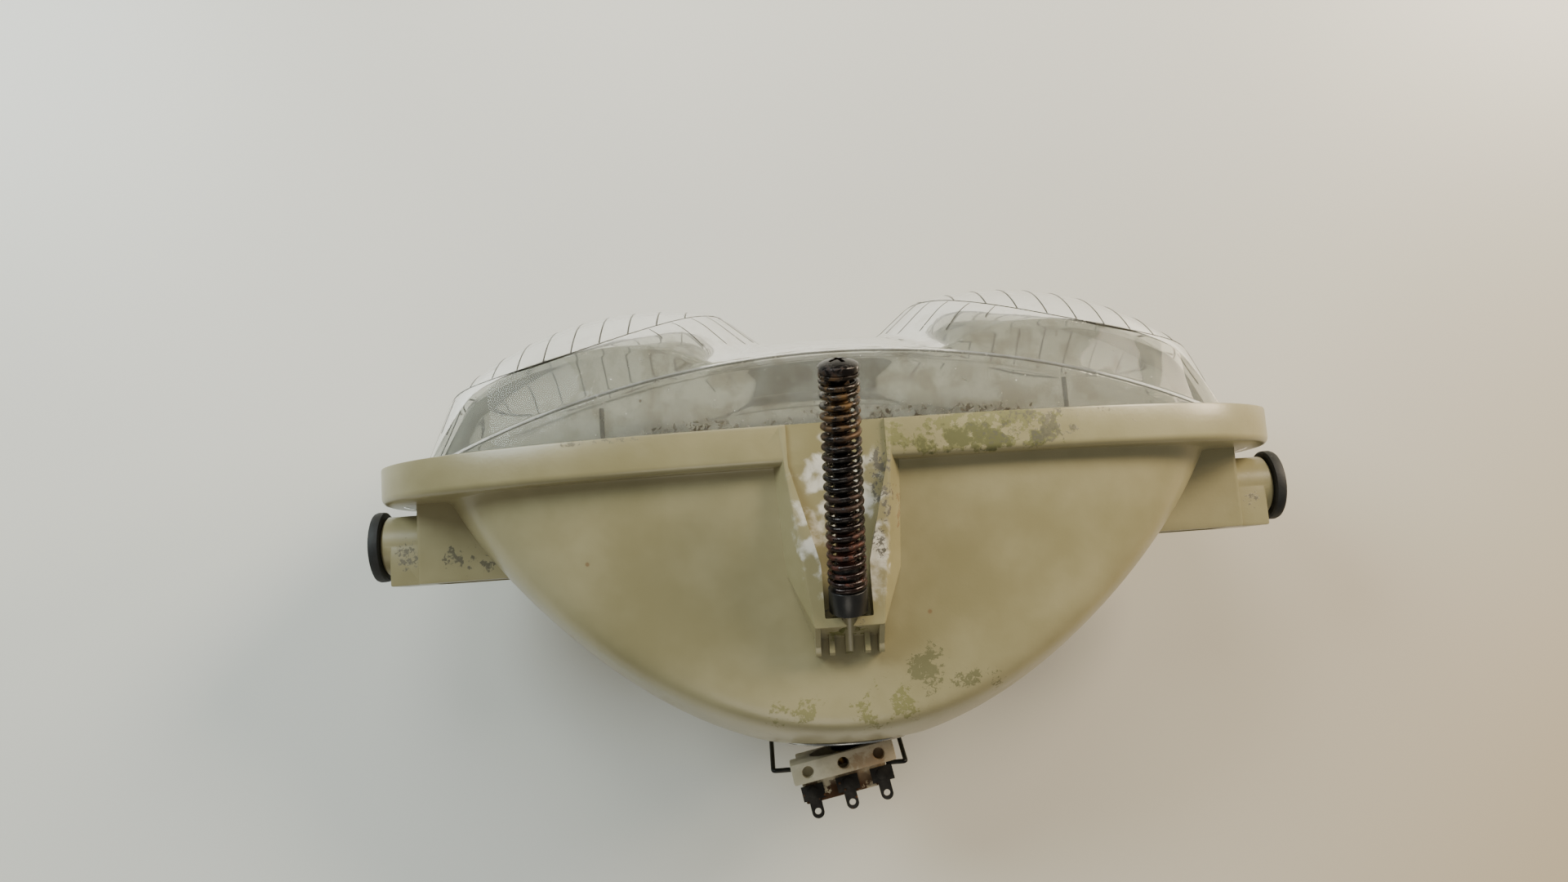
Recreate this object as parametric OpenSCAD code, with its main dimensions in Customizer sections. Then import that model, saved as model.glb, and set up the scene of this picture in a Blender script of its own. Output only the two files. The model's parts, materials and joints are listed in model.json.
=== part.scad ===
// Twin-eye moped headlamp unit: moulded housing, clear lens, bulb in a ceramic holder,
// wire bail, two rubber pivot bushes and a sprung aiming screw.
// The origin is the middle of the pivot axis. +X runs along that axis, -Y is the way
// the lamp shines and +Z is the side that carries the aiming screw.

/* [Rim] */
// Overall width of the rim band
rim_w = 248; // [220:1:300]
// Overall height of the rim band
rim_h = 97; // [90:1:118]
// Depth of the rim band from front to back
rim_depth = 10; // [8:0.5:14]
// Distance of the rim's front edge ahead of the pivot axis
rim_ahead = 20.5; // [18:0.5:26]
// Wall thickness of the moulded housing
wall = 2.5; // [2:0.1:3]
// How square the outline is (2 is an ellipse)
squareness = 2.5; // [2.3:0.1:4]

/* [Bowl] */
// Distance of the bowl's apex behind the pivot axis
bowl_back = 63.5; // [58:0.5:76]
// Width coefficient of the paraboloid, four times its focal length
bowl_coeff = 155; // [140:1:186]
// Depth that the apex is cut back for the bulb neck
neck_cut = 3.5; // [3:0.5:5]
// Radius of the hole that the bulb goes through
bulb_hole_r = 13; // [12.6:0.1:14]

/* [Lens] */
// Thickness of the lens moulding
lens_wall = 2.6; // [2:0.1:3]
// Distance of each eye from the middle of the lamp
eye_x = 61.5; // [58:0.5:66]
// Radius of an eye where it meets the lens plate
eye_base_r = 50; // [46:0.5:52]
// Radius of an eye's front edge
eye_face_r = 39.5; // [34:0.5:42]
// Height of an eye's side wall
eye_height = 14.6; // [10:0.2:17]
// Radius of the domed eye face from side to side
eye_dome_r = 85; // [70:1:120]
// Radius of the domed eye face from top to bottom
eye_rise_r = 60; // [56:1:68]
// Angle that each eye is turned outwards
sweep = 14; // [8:0.5:15]
// Radius of the lens plate from side to side
plate_r = 220; // [190:1:300]
// Radius of the lens plate's crown from top to bottom
crown_r = 105; // [90:1:160]
// Width of the plate's shoulder around the eyes
shoulder_w = 2.4; // [2:0.1:4]

/* [Pivots] */
// Distance that a boss's outer face stands out beyond the rim's end
boss_proud = 0.5; // [0:0.5:20]
// Radius of a pivot boss
boss_r = 8.3; // [7.6:0.1:9.5]
// Radius of the rubber bush's stem
bush_r = 6.15; // [5.6:0.05:6.4]
// Radius of the bush's outer flange
bush_flange_r = 9.8; // [9:0.1:12]
// Thickness of the bush's outer flange
bush_flange_t = 3.2; // [2:0.1:5]
// Radius of the hole for the mounting screw
pivot_hole_r = 3.1; // [2.6:0.1:3.4]

/* [Adjuster] */
// Sideways place of the aiming screw
adjuster_x = 0; // [-4:0.5:4]
// Thread radius of the aiming screw
screw_r = 2.5; // [2:0.1:2.6]
// Angle of the screw to the lamp's axis
screw_tilt = 25.95; // [24:0.05:28]
// Length of the screw from the top of its head to the seat of its nut
screw_span = 62.8; // [60:0.1:66]
// Outer radius of the aiming spring
spring_r = 4.82; // [4.6:0.02:5]
// Radius of the spring wire
spring_wire_r = 0.72; // [0.6:0.02:0.85]
// Turns of the spring
spring_turns = 22; // [16:1:24]
// How far the screw winds in
screw_travel = 6; // [3:0.5:6.5]

/* [Bulb holder] */
// Width of the bulb holder
holder_w = 28.4; // [27:0.1:30]
// Height of the bulb holder
holder_h = 19.5; // [19:0.1:22]
// Angle that the holder sits askew on the neck
holder_yaw = 10.5; // [0:0.5:12]
// Distance that the holder sits off centre on the neck
holder_x = 2.5; // [0:0.1:2.5]
// Distance between the spade terminals
terminal_pitch = 9.8; // [9:0.1:10.2]
// Width of a terminal's blade
blade_w = 3.4; // [3:0.1:4.8]
// Radius of the bail's wire
bail_r = 0.65; // [0.5:0.05:0.8]

/* [Hidden] */
$fn = 64;

// Clearances
slide_gap = 0.05;
fit_gap = 0.3;
touch_gap = 0.1;
eps = 0.01;

// Rim and lens seat
rim_front = -rim_ahead;
rim_back = rim_front + rim_depth;
ledge_y = rim_back - wall;
seal_t = 1.5;
seal_w = 2;
lens_foot = ledge_y - seal_t;
lens_w = rim_w - 2 * (wall + fit_gap);
lens_h = rim_h - 2 * (wall + fit_gap);
lens_flange_t = 3;

// Bowl
neck_y = bowl_back - neck_cut;
flat_front_w = rim_w - 22;
flat_front_h = rim_h - 7;
flat_back_w = rim_w - 58;
flat_back_h = rim_h - 28;
skin_t = 0.6;

// Lens eyes and plate: where the axis of an eye starts, and the plate's foremost point
eye_y = rim_front - 14;
plate_front = rim_front - 28.5;

// Pivot wings
boss_end_x = rim_w / 2 + boss_proud;
wing_end_x = boss_end_x - 10.5;
wing_half_h = 10;
wing_back = 11.4;
pad_end_x = boss_end_x - 2.5;
boss_inner_x = boss_end_x - 14;

// Adjuster: distances along the screw from the top of its head
head_h = 3.2;
head_r = 4.7;
washer_t = 0.8;
nut_base_h = 6;
nut_stem_h = 6;
nut_base_r = 4.7;
nut_stem_r = spring_r - 2 * spring_wire_r - 0.15;
spring_top = head_h + washer_t;
spring_foot = screw_span - nut_base_h;
screw_tip = screw_span - 3.5;
head_y = -31;
head_z = rim_h / 2 + 26.5;

// Pod that carries the adjuster
pod_top = rim_h / 2;
pod_root = pod_top - 14;
pod_mouth_w = 28.6;
pod_base_w = 37;
pod_end_w = 17;
pod_wall = 2;
pod_end_y = 29.5;
pod_toe_y = 33.5;
rib_t = 1.3;
rib_end_y = 36.5;

// Bulb
focus_y = bowl_back - bowl_coeff / 4;
bulb_seal_t = 0.8;
bulb_flange_r = 16.8;
bulb_flange_t = 0.8;
flange_y = neck_y + bulb_seal_t;
flange_back = flange_y + bulb_flange_t;
shell_r = 10;
shell_len = 14;
boss_len = 3.1;
bulb_boss_r = 4.6;
contact_t = 0.5;
contact_r = 1.4;
contact_x = 2.4;
contact_z = -1.5;
bulb_back = flange_back + boss_len + contact_t;
globe_r = 12;
glass_t = 0.8;

// Bulb holder, in its own askew frame
holder_y = flange_back + touch_gap + holder_w / 2 * sin(holder_yaw);
holder_top = 10;
holder_bottom = holder_top - holder_h;
block_depth = 5.6;
ledge_depth = 12.5;
ledge_w = holder_w - 3.8;
ledge_top = 1.5;
socket_r = 8.4;
socket_depth = 4.6;
pin_r = 1.2;
pin_tail = 8;
pin_bore_end = 11;
terminal_t = 0.8;

// Bail: a wire that hinges in a lug under the neck and hooks behind the holder
bail_y = neck_y + 3;
bail_z = -bulb_flange_r - 2.7;
bail_leg_x = 18.5;
hook_y = holder_y + 5.2;
hook_z = -1;
hook_end_x = ledge_w / 2 + 0.6;
rivet_depth = 1.2;
bail_lug_w = 18;
knuckle = 0.04;

// Points of a rounded box outline, w wide and h high
function outline(w, h, n = 64) = [
    for (i = [0 : n - 1])
        let (c = cos(360 * i / n), s = sin(360 * i / n))
        [w / 2 * sign(c) * pow(abs(c), 2 / squareness), h / 2 * sign(s) * pow(abs(s), 2 / squareness)]
];

// A point of the bowl's profile at radius r, moved inward by t
function bowl_point(r, t) =
    let (k = 2 * r / bowl_coeff, s = sqrt(1 + k * k))
    [max(0, r - t * k / s), bowl_back - r * r / bowl_coeff - t / s];

// Radius of the bowl at y
function bowl_r(y) = sqrt(bowl_coeff * (bowl_back - y));

// Place of a contact pin across the holder, in line with the bulb's contact
function pin_x(side) = (side * contact_x - holder_x) / cos(holder_yaw);

// Extrudes a drawing of X and Z from front by length along Y
module along_y(front, length) {
    translate([0, front + length, 0])
        rotate([90, 0, 0])
        linear_extrude(length)
        children();
}

// Turns a profile of radius and Y about the lamp's axis
module about_y() {
    rotate([-90, 0, 0])
        rotate_extrude()
        children();
}

// A round bar along Y from y0 to y1
module bar_y(r, y0, y1) {
    translate([0, y0, 0])
        rotate([-90, 0, 0])
        cylinder(r = r, h = y1 - y0);
}

// A round bar along X from x0 to x1
module bar_x(r, x0, x1) {
    translate([x0, 0, 0])
        rotate([0, 90, 0])
        cylinder(r = r, h = x1 - x0);
}

// A round bar between two points
module wire(a, b, r) {
    d = b - a;
    translate(a)
        rotate([0, acos(d[2] / norm(d)), atan2(d[1], d[0])])
        cylinder(r = r, h = norm(d));
}

// A prism of the rounded box outline between two Y planes
module outline_block(w, h, y0, y1) {
    along_y(y0, y1 - y0)
        polygon(outline(w, h));
}

// Frame of the aiming screw: its Z runs from the head towards the nut
module screw_frame() {
    translate([adjuster_x, head_y, head_z])
        rotate([-90 - screw_tilt, 0, 0])
        children();
}

// Frame of the bulb holder: its Y runs rearward from the front face
module holder_frame() {
    translate([holder_x, holder_y, 0])
        rotate([0, 0, holder_yaw])
        children();
}

// Frame of one eye: its Z runs forward out of the eye
module eye_frame(side) {
    mirror([side < 0 ? 1 : 0, 0, 0])
        translate([eye_x, eye_y, 0])
        rotate([90, 0, sweep])
        children();
}

// A coil spring along Z between two heights, as a swept wire
module coil(outer_r, wire_r, turns, z0, z1, steps = 14, sides = 7) {
    mean_r = outer_r - wire_r;
    rise = z1 - z0 - 2 * wire_r;
    count = turns * steps;
    closed = 1.5 / turns;
    dead_rise = 2.05 * wire_r * 1.5;
    function height(u) =
        u < closed ? dead_rise * u / closed :
        u > 1 - closed ? rise - dead_rise * (1 - u) / closed :
        dead_rise + (rise - 2 * dead_rise) * (u - closed) / (1 - 2 * closed);
    points = [
        for (i = [0 : count], j = [0 : sides - 1])
            let (
                turn = 360 * i / steps,
                around = 360 * j / sides,
                r = mean_r + wire_r * cos(around)
            )
            [r * cos(turn), r * sin(turn), z0 + wire_r + height(i / count) + wire_r * sin(around)]
    ];
    tube = [
        for (i = [0 : count - 1], j = [0 : sides - 1])
            let (k = (j + 1) % sides)
            [i * sides + j, i * sides + k, (i + 1) * sides + k, (i + 1) * sides + j]
    ];
    start = [for (j = [0 : sides - 1]) sides - 1 - j];
    end = [for (j = [0 : sides - 1]) count * sides + j];
    polyhedron(points, concat(tube, [start], [end]));
}

// The bowl, moved inward by t: a paraboloid cut by two drafted flats
module bowl(t) {
    intersection() {
        about_y()
            polygon(concat(
                [[0, rim_front]],
                [for (i = [24 : -1 : 0]) bowl_point(bowl_r(rim_front - 8) * i / 24, t)]));
        hull() {
            outline_block(flat_front_w - 2 * t, flat_front_h - 2 * t, rim_front, rim_front + eps);
            outline_block(flat_back_w - 2 * t, flat_back_h - 2 * t, bowl_back, bowl_back + eps);
        }
    }
}

// A wing beside the bowl with its pivot boss, on the side that X points to
module wing() {
    translate([60, rim_back - wall, -wing_half_h])
        cube([wing_end_x - 60, wing_back - rim_back + wall, 2 * wing_half_h]);
    bar_x(boss_r, boss_inner_x, boss_end_x);
    translate([boss_inner_x, 0, -boss_r])
        cube([pad_end_x - boss_inner_x, wing_back, 2 * boss_r]);
}

// The hollow of a wing, open at the rear, and the bore for its bush
module wing_hollow() {
    difference() {
        translate([60, rim_back, wall - wing_half_h])
            cube([wing_end_x - wall - 60, wing_back - rim_back + 1, 2 * (wing_half_h - wall)]);
        bar_x(boss_r, boss_inner_x, boss_end_x);
    }
    bar_x(bush_r + slide_gap, boss_inner_x - 1, boss_end_x + 1);
}

// The trough that carries the aiming screw
module pod() {
    difference() {
        hull() {
            translate([adjuster_x, 0, pod_top - eps])
                linear_extrude(eps)
                polygon([[-pod_mouth_w / 2, rim_front + 1], [pod_mouth_w / 2, rim_front + 1],
                    [pod_end_w / 2, pod_end_y], [-pod_end_w / 2, pod_end_y]]);
            translate([adjuster_x, 0, pod_root])
                linear_extrude(eps)
                polygon([[-pod_base_w / 2, rim_back], [pod_base_w / 2, rim_back],
                    [pod_base_w / 2, 6], [pod_end_w / 2, 27], [pod_end_w / 2, pod_toe_y],
                    [-pod_end_w / 2, pod_toe_y], [-pod_end_w / 2, 27], [-pod_base_w / 2, 6]]);
        }
        bowl(wall / 2);
    }
    for (x = [-7.8, -4.4, 0, 4.4, 7.8])
        translate([adjuster_x + x - rib_t / 2, pod_end_y - 3, pod_top - 11])
        cube([rib_t, rib_end_y - pod_end_y + 3, 5]);
}

// The space in the trough: a narrowing floor that slopes down to the nut's cradle
module pod_hollow() {
    mouth = pod_mouth_w / 2 - pod_wall;
    throat = pod_end_w / 2 - pod_wall;
    intersection() {
        translate([adjuster_x, 0, 0])
            linear_extrude(rim_h)
            polygon([[-mouth, rim_front - 1], [mouth, rim_front - 1], [mouth, rim_back],
                [throat, 14], [throat, 19], [-throat, 19], [-throat, 14], [-mouth, rim_back]]);
        translate([adjuster_x - 30, 0, 0])
            rotate([90, 0, 90])
            linear_extrude(60)
            polygon([[rim_front - 1, pod_top - 0.8], [rim_back, pod_top - 0.8],
                [14, pod_top - 6.5], [20, pod_top - 6.5], [20, rim_h], [rim_front - 1, rim_h]]);
    }
    screw_frame() {
        cylinder(r = spring_r + 0.6, h = spring_foot);
        cylinder(r = nut_base_r + touch_gap, h = screw_span);
        cylinder(r = screw_r + 0.5, h = screw_span + 2 * screw_travel);
    }
}

// The lug under the bulb neck that the bail hinges in
module bail_lug() {
    translate([-bail_lug_w / 2, neck_y - 4, bail_z - 2.2])
        cube([bail_lug_w, bail_y - neck_y + 6, 4.4]);
}

module housing() {
    color("ivory")
        difference() {
            union() {
                outline_block(rim_w, rim_h, rim_front, rim_back);
                bowl(0);
                wing();
                mirror([1, 0, 0]) wing();
                pod();
                bail_lug();
            }
            outline_block(rim_w - 2 * wall, rim_h - 2 * wall, rim_front - 1, ledge_y);
            bowl(wall);
            pod_hollow();
            difference() {
                union() {
                    wing_hollow();
                    mirror([1, 0, 0]) wing_hollow();
                }
                bowl(0);
            }
            bar_y(bulb_hole_r, neck_y - 20, neck_y + 20);
            difference() {
                bar_y(bulb_hole_r + 12, neck_y, bowl_back + 1);
                bail_lug();
            }
            bar_y(bulb_flange_r + fit_gap, neck_y, bowl_back + 10);
            translate([0, bail_y, bail_z])
                bar_x(bail_r + slide_gap, -bail_lug_w, bail_lug_w);
        }
}

module reflector_skin() {
    color("lightgray")
        difference() {
            bowl(wall + touch_gap);
            bowl(wall + touch_gap + skin_t);
            translate([-rim_w, rim_front - 1, -rim_h])
                cube([2 * rim_w, ledge_y - rim_front + 1, 2 * rim_h]);
            bar_y(bulb_hole_r, neck_y - 20, neck_y + 20);
        }
}

// The lens as a solid, moved inward by t
module lens_solid(t) {
    rear = lens_foot + (t > 0 ? 1 : 0);
    inset = t + shoulder_w;
    intersection() {
        outline_block(lens_w - 2 * t, lens_h - 2 * t, rim_front - 60, rear);
        translate([0, plate_front + plate_r, 0]) barrel(plate_r, crown_r, t);
    }
    intersection() {
        outline_block(lens_w - 2 * inset, lens_h - 2 * inset, rim_front - 60, rear);
        for (side = [-1, 1])
            eye_frame(side)
            intersection() {
                eye_cone(t);
                translate([0, 0, eye_height - sqrt(eye_dome_r * eye_dome_r - eye_face_r * eye_face_r)])
                    rotate([90, 0, 0])
                    barrel(eye_dome_r, eye_rise_r, t);
            }
    }
}

// A barrel about Z, moved inward by t: round_r is its girth and crown_r the curve of its staves
module barrel(round_r, crown_r, t) {
    rotate_extrude()
        intersection() {
            translate([round_r - crown_r, 0]) circle(r = crown_r - t, $fn = 180);
            translate([0, -crown_r]) square([round_r, 2 * crown_r]);
        }
}

// The sloping side wall of one eye
module eye_cone(t) {
    slope = (eye_base_r - eye_face_r) / eye_height;
    foot = -4;
    top = 32;
    translate([0, 0, foot])
        cylinder(r1 = eye_base_r - t - slope * foot, r2 = eye_base_r - t - slope * top, h = top - foot);
}

module lens() {
    color("lightcyan", 0.4)
        difference() {
            union() {
                lens_solid(0);
                outline_block(lens_w, lens_h, lens_foot - lens_flange_t, lens_foot);
            }
            lens_solid(lens_wall);
            outline_block(flat_front_w - 4, flat_front_h - 8, lens_foot - lens_flange_t - 1, lens_foot + 1);
        }
}

module lens_seal() {
    color("dimgray")
        difference() {
            outline_block(lens_w - 1, lens_h - 1, lens_foot, ledge_y);
            outline_block(lens_w - 1 - 2 * seal_w, lens_h - 1 - 2 * seal_w, lens_foot - 1, ledge_y + 1);
        }
}

module bush() {
    difference() {
        union() {
            bar_x(bush_r, boss_inner_x + 0.5, boss_end_x + touch_gap);
            bar_x(bush_flange_r, boss_end_x + touch_gap, boss_end_x + touch_gap + bush_flange_t);
        }
        bar_x(pivot_hole_r + 1, boss_inner_x, boss_end_x + bush_flange_t + 1);
    }
}

module pivot_sleeve() {
    difference() {
        bar_x(pivot_hole_r + 1, boss_inner_x + 0.5, boss_end_x + touch_gap + bush_flange_t);
        bar_x(pivot_hole_r, boss_inner_x, boss_end_x + bush_flange_t + 1);
    }
}

module bush_left() {
    color("black") bush();
}

module bush_right() {
    color("black") mirror([1, 0, 0]) bush();
}

module pivot_sleeve_left() {
    color("silver") pivot_sleeve();
}

module pivot_sleeve_right() {
    color("silver") mirror([1, 0, 0]) pivot_sleeve();
}

// The pan head and shank of the aiming screw, with its cross recess
module adjuster_screw() {
    color("saddlebrown")
        screw_frame()
        difference() {
            union() {
                intersection() {
                    cylinder(r = head_r, h = head_h);
                    translate([0, 0, 9]) sphere(r = 9);
                }
                cylinder(r = screw_r, h = screw_tip);
            }
            for (turn = [0, 90])
                rotate([0, 0, turn])
                translate([-2.3, -0.5, -1])
                cube([4.6, 1, 2.6]);
            translate([0, 0, -eps]) cylinder(r1 = 1.6, r2 = 0.5, h = 2.4);
        }
}

module adjuster_washer() {
    color("dimgray")
        screw_frame()
        translate([0, 0, head_h])
        difference() {
            cylinder(r = spring_r - 0.1, h = washer_t);
            translate([0, 0, -1]) cylinder(r = screw_r + slide_gap, h = washer_t + 2);
        }
}

module adjuster_spring() {
    color("saddlebrown")
        screw_frame()
        coil(spring_r, spring_wire_r, spring_turns, spring_top, spring_foot);
}

module adjuster_nut() {
    color("black")
        screw_frame()
        difference() {
            union() {
                translate([0, 0, screw_span - nut_base_h]) cylinder(r = nut_base_r, h = nut_base_h);
                translate([0, 0, screw_span - nut_base_h - nut_stem_h])
                    cylinder(r = nut_stem_r, h = nut_stem_h + 1);
            }
            cylinder(r = screw_r + slide_gap, h = screw_span + 1);
        }
}

module bulb_seal() {
    color("black")
        difference() {
            bar_y(bulb_flange_r, neck_y, flange_y);
            bar_y(bulb_hole_r + 0.5, neck_y - 1, flange_y + 1);
        }
}

module bulb_shell() {
    color("silver")
        difference() {
            union() {
                bar_y(shell_r, flange_y - shell_len, flange_y + eps);
                bar_y(bulb_flange_r, flange_y, flange_back);
            }
            bar_y(shell_r - 0.5, flange_y - shell_len - 1, flange_y);
            bar_y(bulb_boss_r + touch_gap, flange_y - 1, flange_back + 1);
        }
}

module bulb_insulator() {
    color("darkslategray") {
        bar_y(shell_r - 0.5 - touch_gap, flange_y - 4, flange_y);
        bar_y(bulb_boss_r, flange_y - eps, bulb_back - contact_t);
    }
}

module bulb_contacts() {
    color("goldenrod")
        for (x = [-contact_x, contact_x])
            translate([x, 0, contact_z])
            bar_y(contact_r, bulb_back - contact_t, bulb_back);
}

// Outline of the bulb's envelope, moved inward by t
module envelope(t) {
    neck = shell_r - 0.5 - touch_gap - 1 - t;
    intersection() {
        union() {
            translate([0, focus_y]) circle(r = globe_r - t);
            translate([0, focus_y + 2]) square([neck, flange_y - 4 - focus_y - 2 - touch_gap - t]);
        }
        translate([0, focus_y - globe_r]) square([globe_r, 60]);
    }
}

module bulb_glass() {
    color("lightcyan", 0.4)
        about_y()
        difference() {
            envelope(0);
            envelope(glass_t);
        }
}

// A filament as a short close-wound coil across the lamp's axis
module filament(y, z) {
    translate([0, y, z])
        for (x = [-2.4 : 0.6 : 2.4])
            bar_x_ring(x);
}

// One turn of a filament
module bar_x_ring(x) {
    translate([x, 0, 0])
        rotate([0, 90, 0])
        rotate_extrude()
        translate([0.6, 0])
        circle(r = 0.31, $fn = 16);
}

module filament_main() {
    color("gray") filament(focus_y, 0);
}

module filament_dip() {
    color("gray") filament(focus_y - 5, 1.4);
}

module filament_shield() {
    color("silver")
        translate([0, focus_y - 5, 1.4])
        difference() {
            bar_x(3, -4, 4);
            bar_x(2.7, -3.7, 3.7);
            translate([-5, -5, 0]) cube([10, 10, 10]);
        }
}

module filament_supports() {
    bead_y = flange_y - 9;
    color("silver") {
        bar_y(3, bead_y, bead_y + 2);
        for (side = [-1, 1]) {
            wire([side * 2.2, bead_y + 1, 0], [side * 3.2, focus_y, 0], 0.3);
            wire([side * 2.2, bead_y + 1, 1], [side * 4.7, focus_y - 5, 1.4], 0.3);
            wire([side * 2.2, bead_y + 1, 0], [side * 2.2, flange_y - 5.2, 0], 0.3);
        }
    }
}

module holder_body() {
    color("tan")
        difference() {
            holder_frame()
                difference() {
                    union() {
                        translate([-holder_w / 2, 0, ledge_top - 3])
                            cube([holder_w, block_depth, holder_top - ledge_top + 3]);
                        translate([-ledge_w / 2, 0, holder_bottom])
                            cube([ledge_w, ledge_depth, ledge_top - holder_bottom]);
                    }
                    bar_y(socket_r, -1, socket_depth);
                    for (k = [-1 : 1]) {
                        translate([k * terminal_pitch, block_depth / 2, holder_top - 3])
                            cylinder(r = 1.5, h = 4);
                        translate([k * terminal_pitch, 9.5, ledge_top - rivet_depth - slide_gap])
                            cylinder(r = 1 + slide_gap, h = 4);
                    }
                    for (side = [-1, 1])
                        translate([pin_x(side), 0, contact_z])
                        bar_y(pin_r + slide_gap, -1, pin_bore_end);
                }
            for (side = [-1, 1])
                translate([holder_x + side * 20, hook_y + 10 - bail_r - fit_gap, -12])
                cube([40 - 2 * (ledge_w / 2 + 0.2), 20, 35], center = true);
        }
}

// A spade terminal lying on the holder's ledge, riveted down
module terminal(k) {
    color("darkslategray")
        holder_frame()
        translate([k * terminal_pitch, 0, ledge_top]) {
            difference() {
                union() {
                    translate([-3.1, 7.6, 0]) cube([6.2, 4, terminal_t]);
                    translate([-blade_w / 2, 11, 0]) cube([blade_w, 4, terminal_t]);
                    translate([0, 15, 0]) cylinder(r = blade_w / 2, h = terminal_t);
                }
                translate([0, 14.8, -1]) cylinder(r = 0.9, h = 3);
            }
            translate([0, 9.5, -rivet_depth]) cylinder(r = 1, h = rivet_depth + eps);
            translate([0, 9.5, terminal_t - eps]) cylinder(r = 1.5, h = 0.5);
        }
}

module terminal_left() {
    terminal(1);
}

module terminal_middle() {
    terminal(0);
}

module terminal_right() {
    terminal(-1);
}

// A sprung contact pin whose tip meets the bulb's contact on its side
module contact_pin(side) {
    tip = (bulb_back + touch_gap - holder_y - pin_x(side) * sin(holder_yaw)) / cos(holder_yaw) + 0.3;
    color("goldenrod")
        holder_frame()
        translate([pin_x(side), 0, contact_z])
        bar_y(pin_r, tip, pin_tail);
}

module contact_spring(side) {
    color("silver")
        holder_frame()
        translate([pin_x(side), 0, contact_z])
        rotate([-90, 0, 0])
        coil(pin_r - 0.05, 0.16, 6, pin_tail + touch_gap, pin_bore_end - touch_gap, 10, 6);
}

module contact_pin_main() {
    contact_pin(1);
}

module contact_pin_dip() {
    contact_pin(-1);
}

module contact_spring_main() {
    contact_spring(1);
}

module contact_spring_dip() {
    contact_spring(-1);
}

module bail_clip() {
    color("dimgray")
        translate([holder_x, 0, 0]) {
            translate([0, bail_y, bail_z]) bar_x(bail_r, -bail_leg_x, bail_leg_x);
            for (side = [-1, 1]) {
                foot = [side * bail_leg_x, bail_y, bail_z];
                knee = [side * bail_leg_x, hook_y, hook_z];
                wire(foot, knee, bail_r);
                wire(knee, [side * hook_end_x, hook_y, hook_z], bail_r);
                translate(foot) sphere(r = bail_r + knuckle);
                translate(knee) sphere(r = bail_r + knuckle);
            }
        }
}

housing();
reflector_skin();
lens();
lens_seal();
bush_left();
bush_right();
pivot_sleeve_left();
pivot_sleeve_right();
adjuster_screw();
adjuster_washer();
adjuster_spring();
adjuster_nut();
bulb_shell();
bulb_insulator();
bulb_contacts();
bulb_glass();
filament_main();
filament_dip();
filament_shield();
filament_supports();
bulb_seal();
holder_body();
terminal_left();
terminal_middle();
terminal_right();
contact_pin_main();
contact_pin_dip();
contact_spring_main();
contact_spring_dip();
bail_clip();
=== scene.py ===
import json
import math

import bpy
import bmesh
from mathutils import Matrix, Vector


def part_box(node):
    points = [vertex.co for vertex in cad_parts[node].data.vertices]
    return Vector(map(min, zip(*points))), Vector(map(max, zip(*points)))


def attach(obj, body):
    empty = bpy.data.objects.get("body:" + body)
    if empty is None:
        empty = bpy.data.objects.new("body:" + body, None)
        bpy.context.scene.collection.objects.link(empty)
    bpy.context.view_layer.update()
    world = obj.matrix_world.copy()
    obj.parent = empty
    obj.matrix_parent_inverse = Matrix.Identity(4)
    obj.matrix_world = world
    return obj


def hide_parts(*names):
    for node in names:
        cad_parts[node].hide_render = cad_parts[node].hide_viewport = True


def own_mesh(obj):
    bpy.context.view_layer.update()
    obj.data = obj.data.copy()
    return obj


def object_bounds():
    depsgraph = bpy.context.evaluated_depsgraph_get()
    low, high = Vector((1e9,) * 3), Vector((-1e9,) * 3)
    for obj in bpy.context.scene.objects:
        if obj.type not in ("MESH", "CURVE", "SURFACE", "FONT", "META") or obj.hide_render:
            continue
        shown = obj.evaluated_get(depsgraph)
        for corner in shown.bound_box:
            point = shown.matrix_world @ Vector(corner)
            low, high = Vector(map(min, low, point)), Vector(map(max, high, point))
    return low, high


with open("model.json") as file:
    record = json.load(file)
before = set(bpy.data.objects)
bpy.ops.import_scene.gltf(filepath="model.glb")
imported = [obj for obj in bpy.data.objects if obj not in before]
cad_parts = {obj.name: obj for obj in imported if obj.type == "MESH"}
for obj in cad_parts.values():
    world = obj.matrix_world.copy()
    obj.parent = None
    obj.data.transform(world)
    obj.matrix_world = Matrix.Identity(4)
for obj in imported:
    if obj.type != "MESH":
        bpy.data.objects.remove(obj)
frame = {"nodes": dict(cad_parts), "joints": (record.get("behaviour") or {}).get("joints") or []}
cadLow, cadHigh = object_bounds()
mm = 0.001
print("frame loaded:", len(frame["nodes"]), "nodes")


# --- camera, floor and light

cameraDials = {
    "place": (0.0201, 0.0183, 0.3344),    # above the lamp, a little behind its middle
    "turn": (7.01, -0.98, 175.90),        # degrees about X, Y and Z
    "lens": 27,
    "sensor": 36,
}


def makeCamera():
    data = bpy.data.cameras.new("camera")
    data.lens = cameraDials["lens"]
    data.sensor_width = cameraDials["sensor"]
    data.clip_start = 0.01
    data.clip_end = 20
    camera = bpy.data.objects.new("camera", data)
    camera.location = cameraDials["place"]
    camera.rotation_euler = [math.radians(a) for a in cameraDials["turn"]]
    bpy.context.scene.collection.objects.link(camera)
    bpy.context.scene.camera = camera


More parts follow.
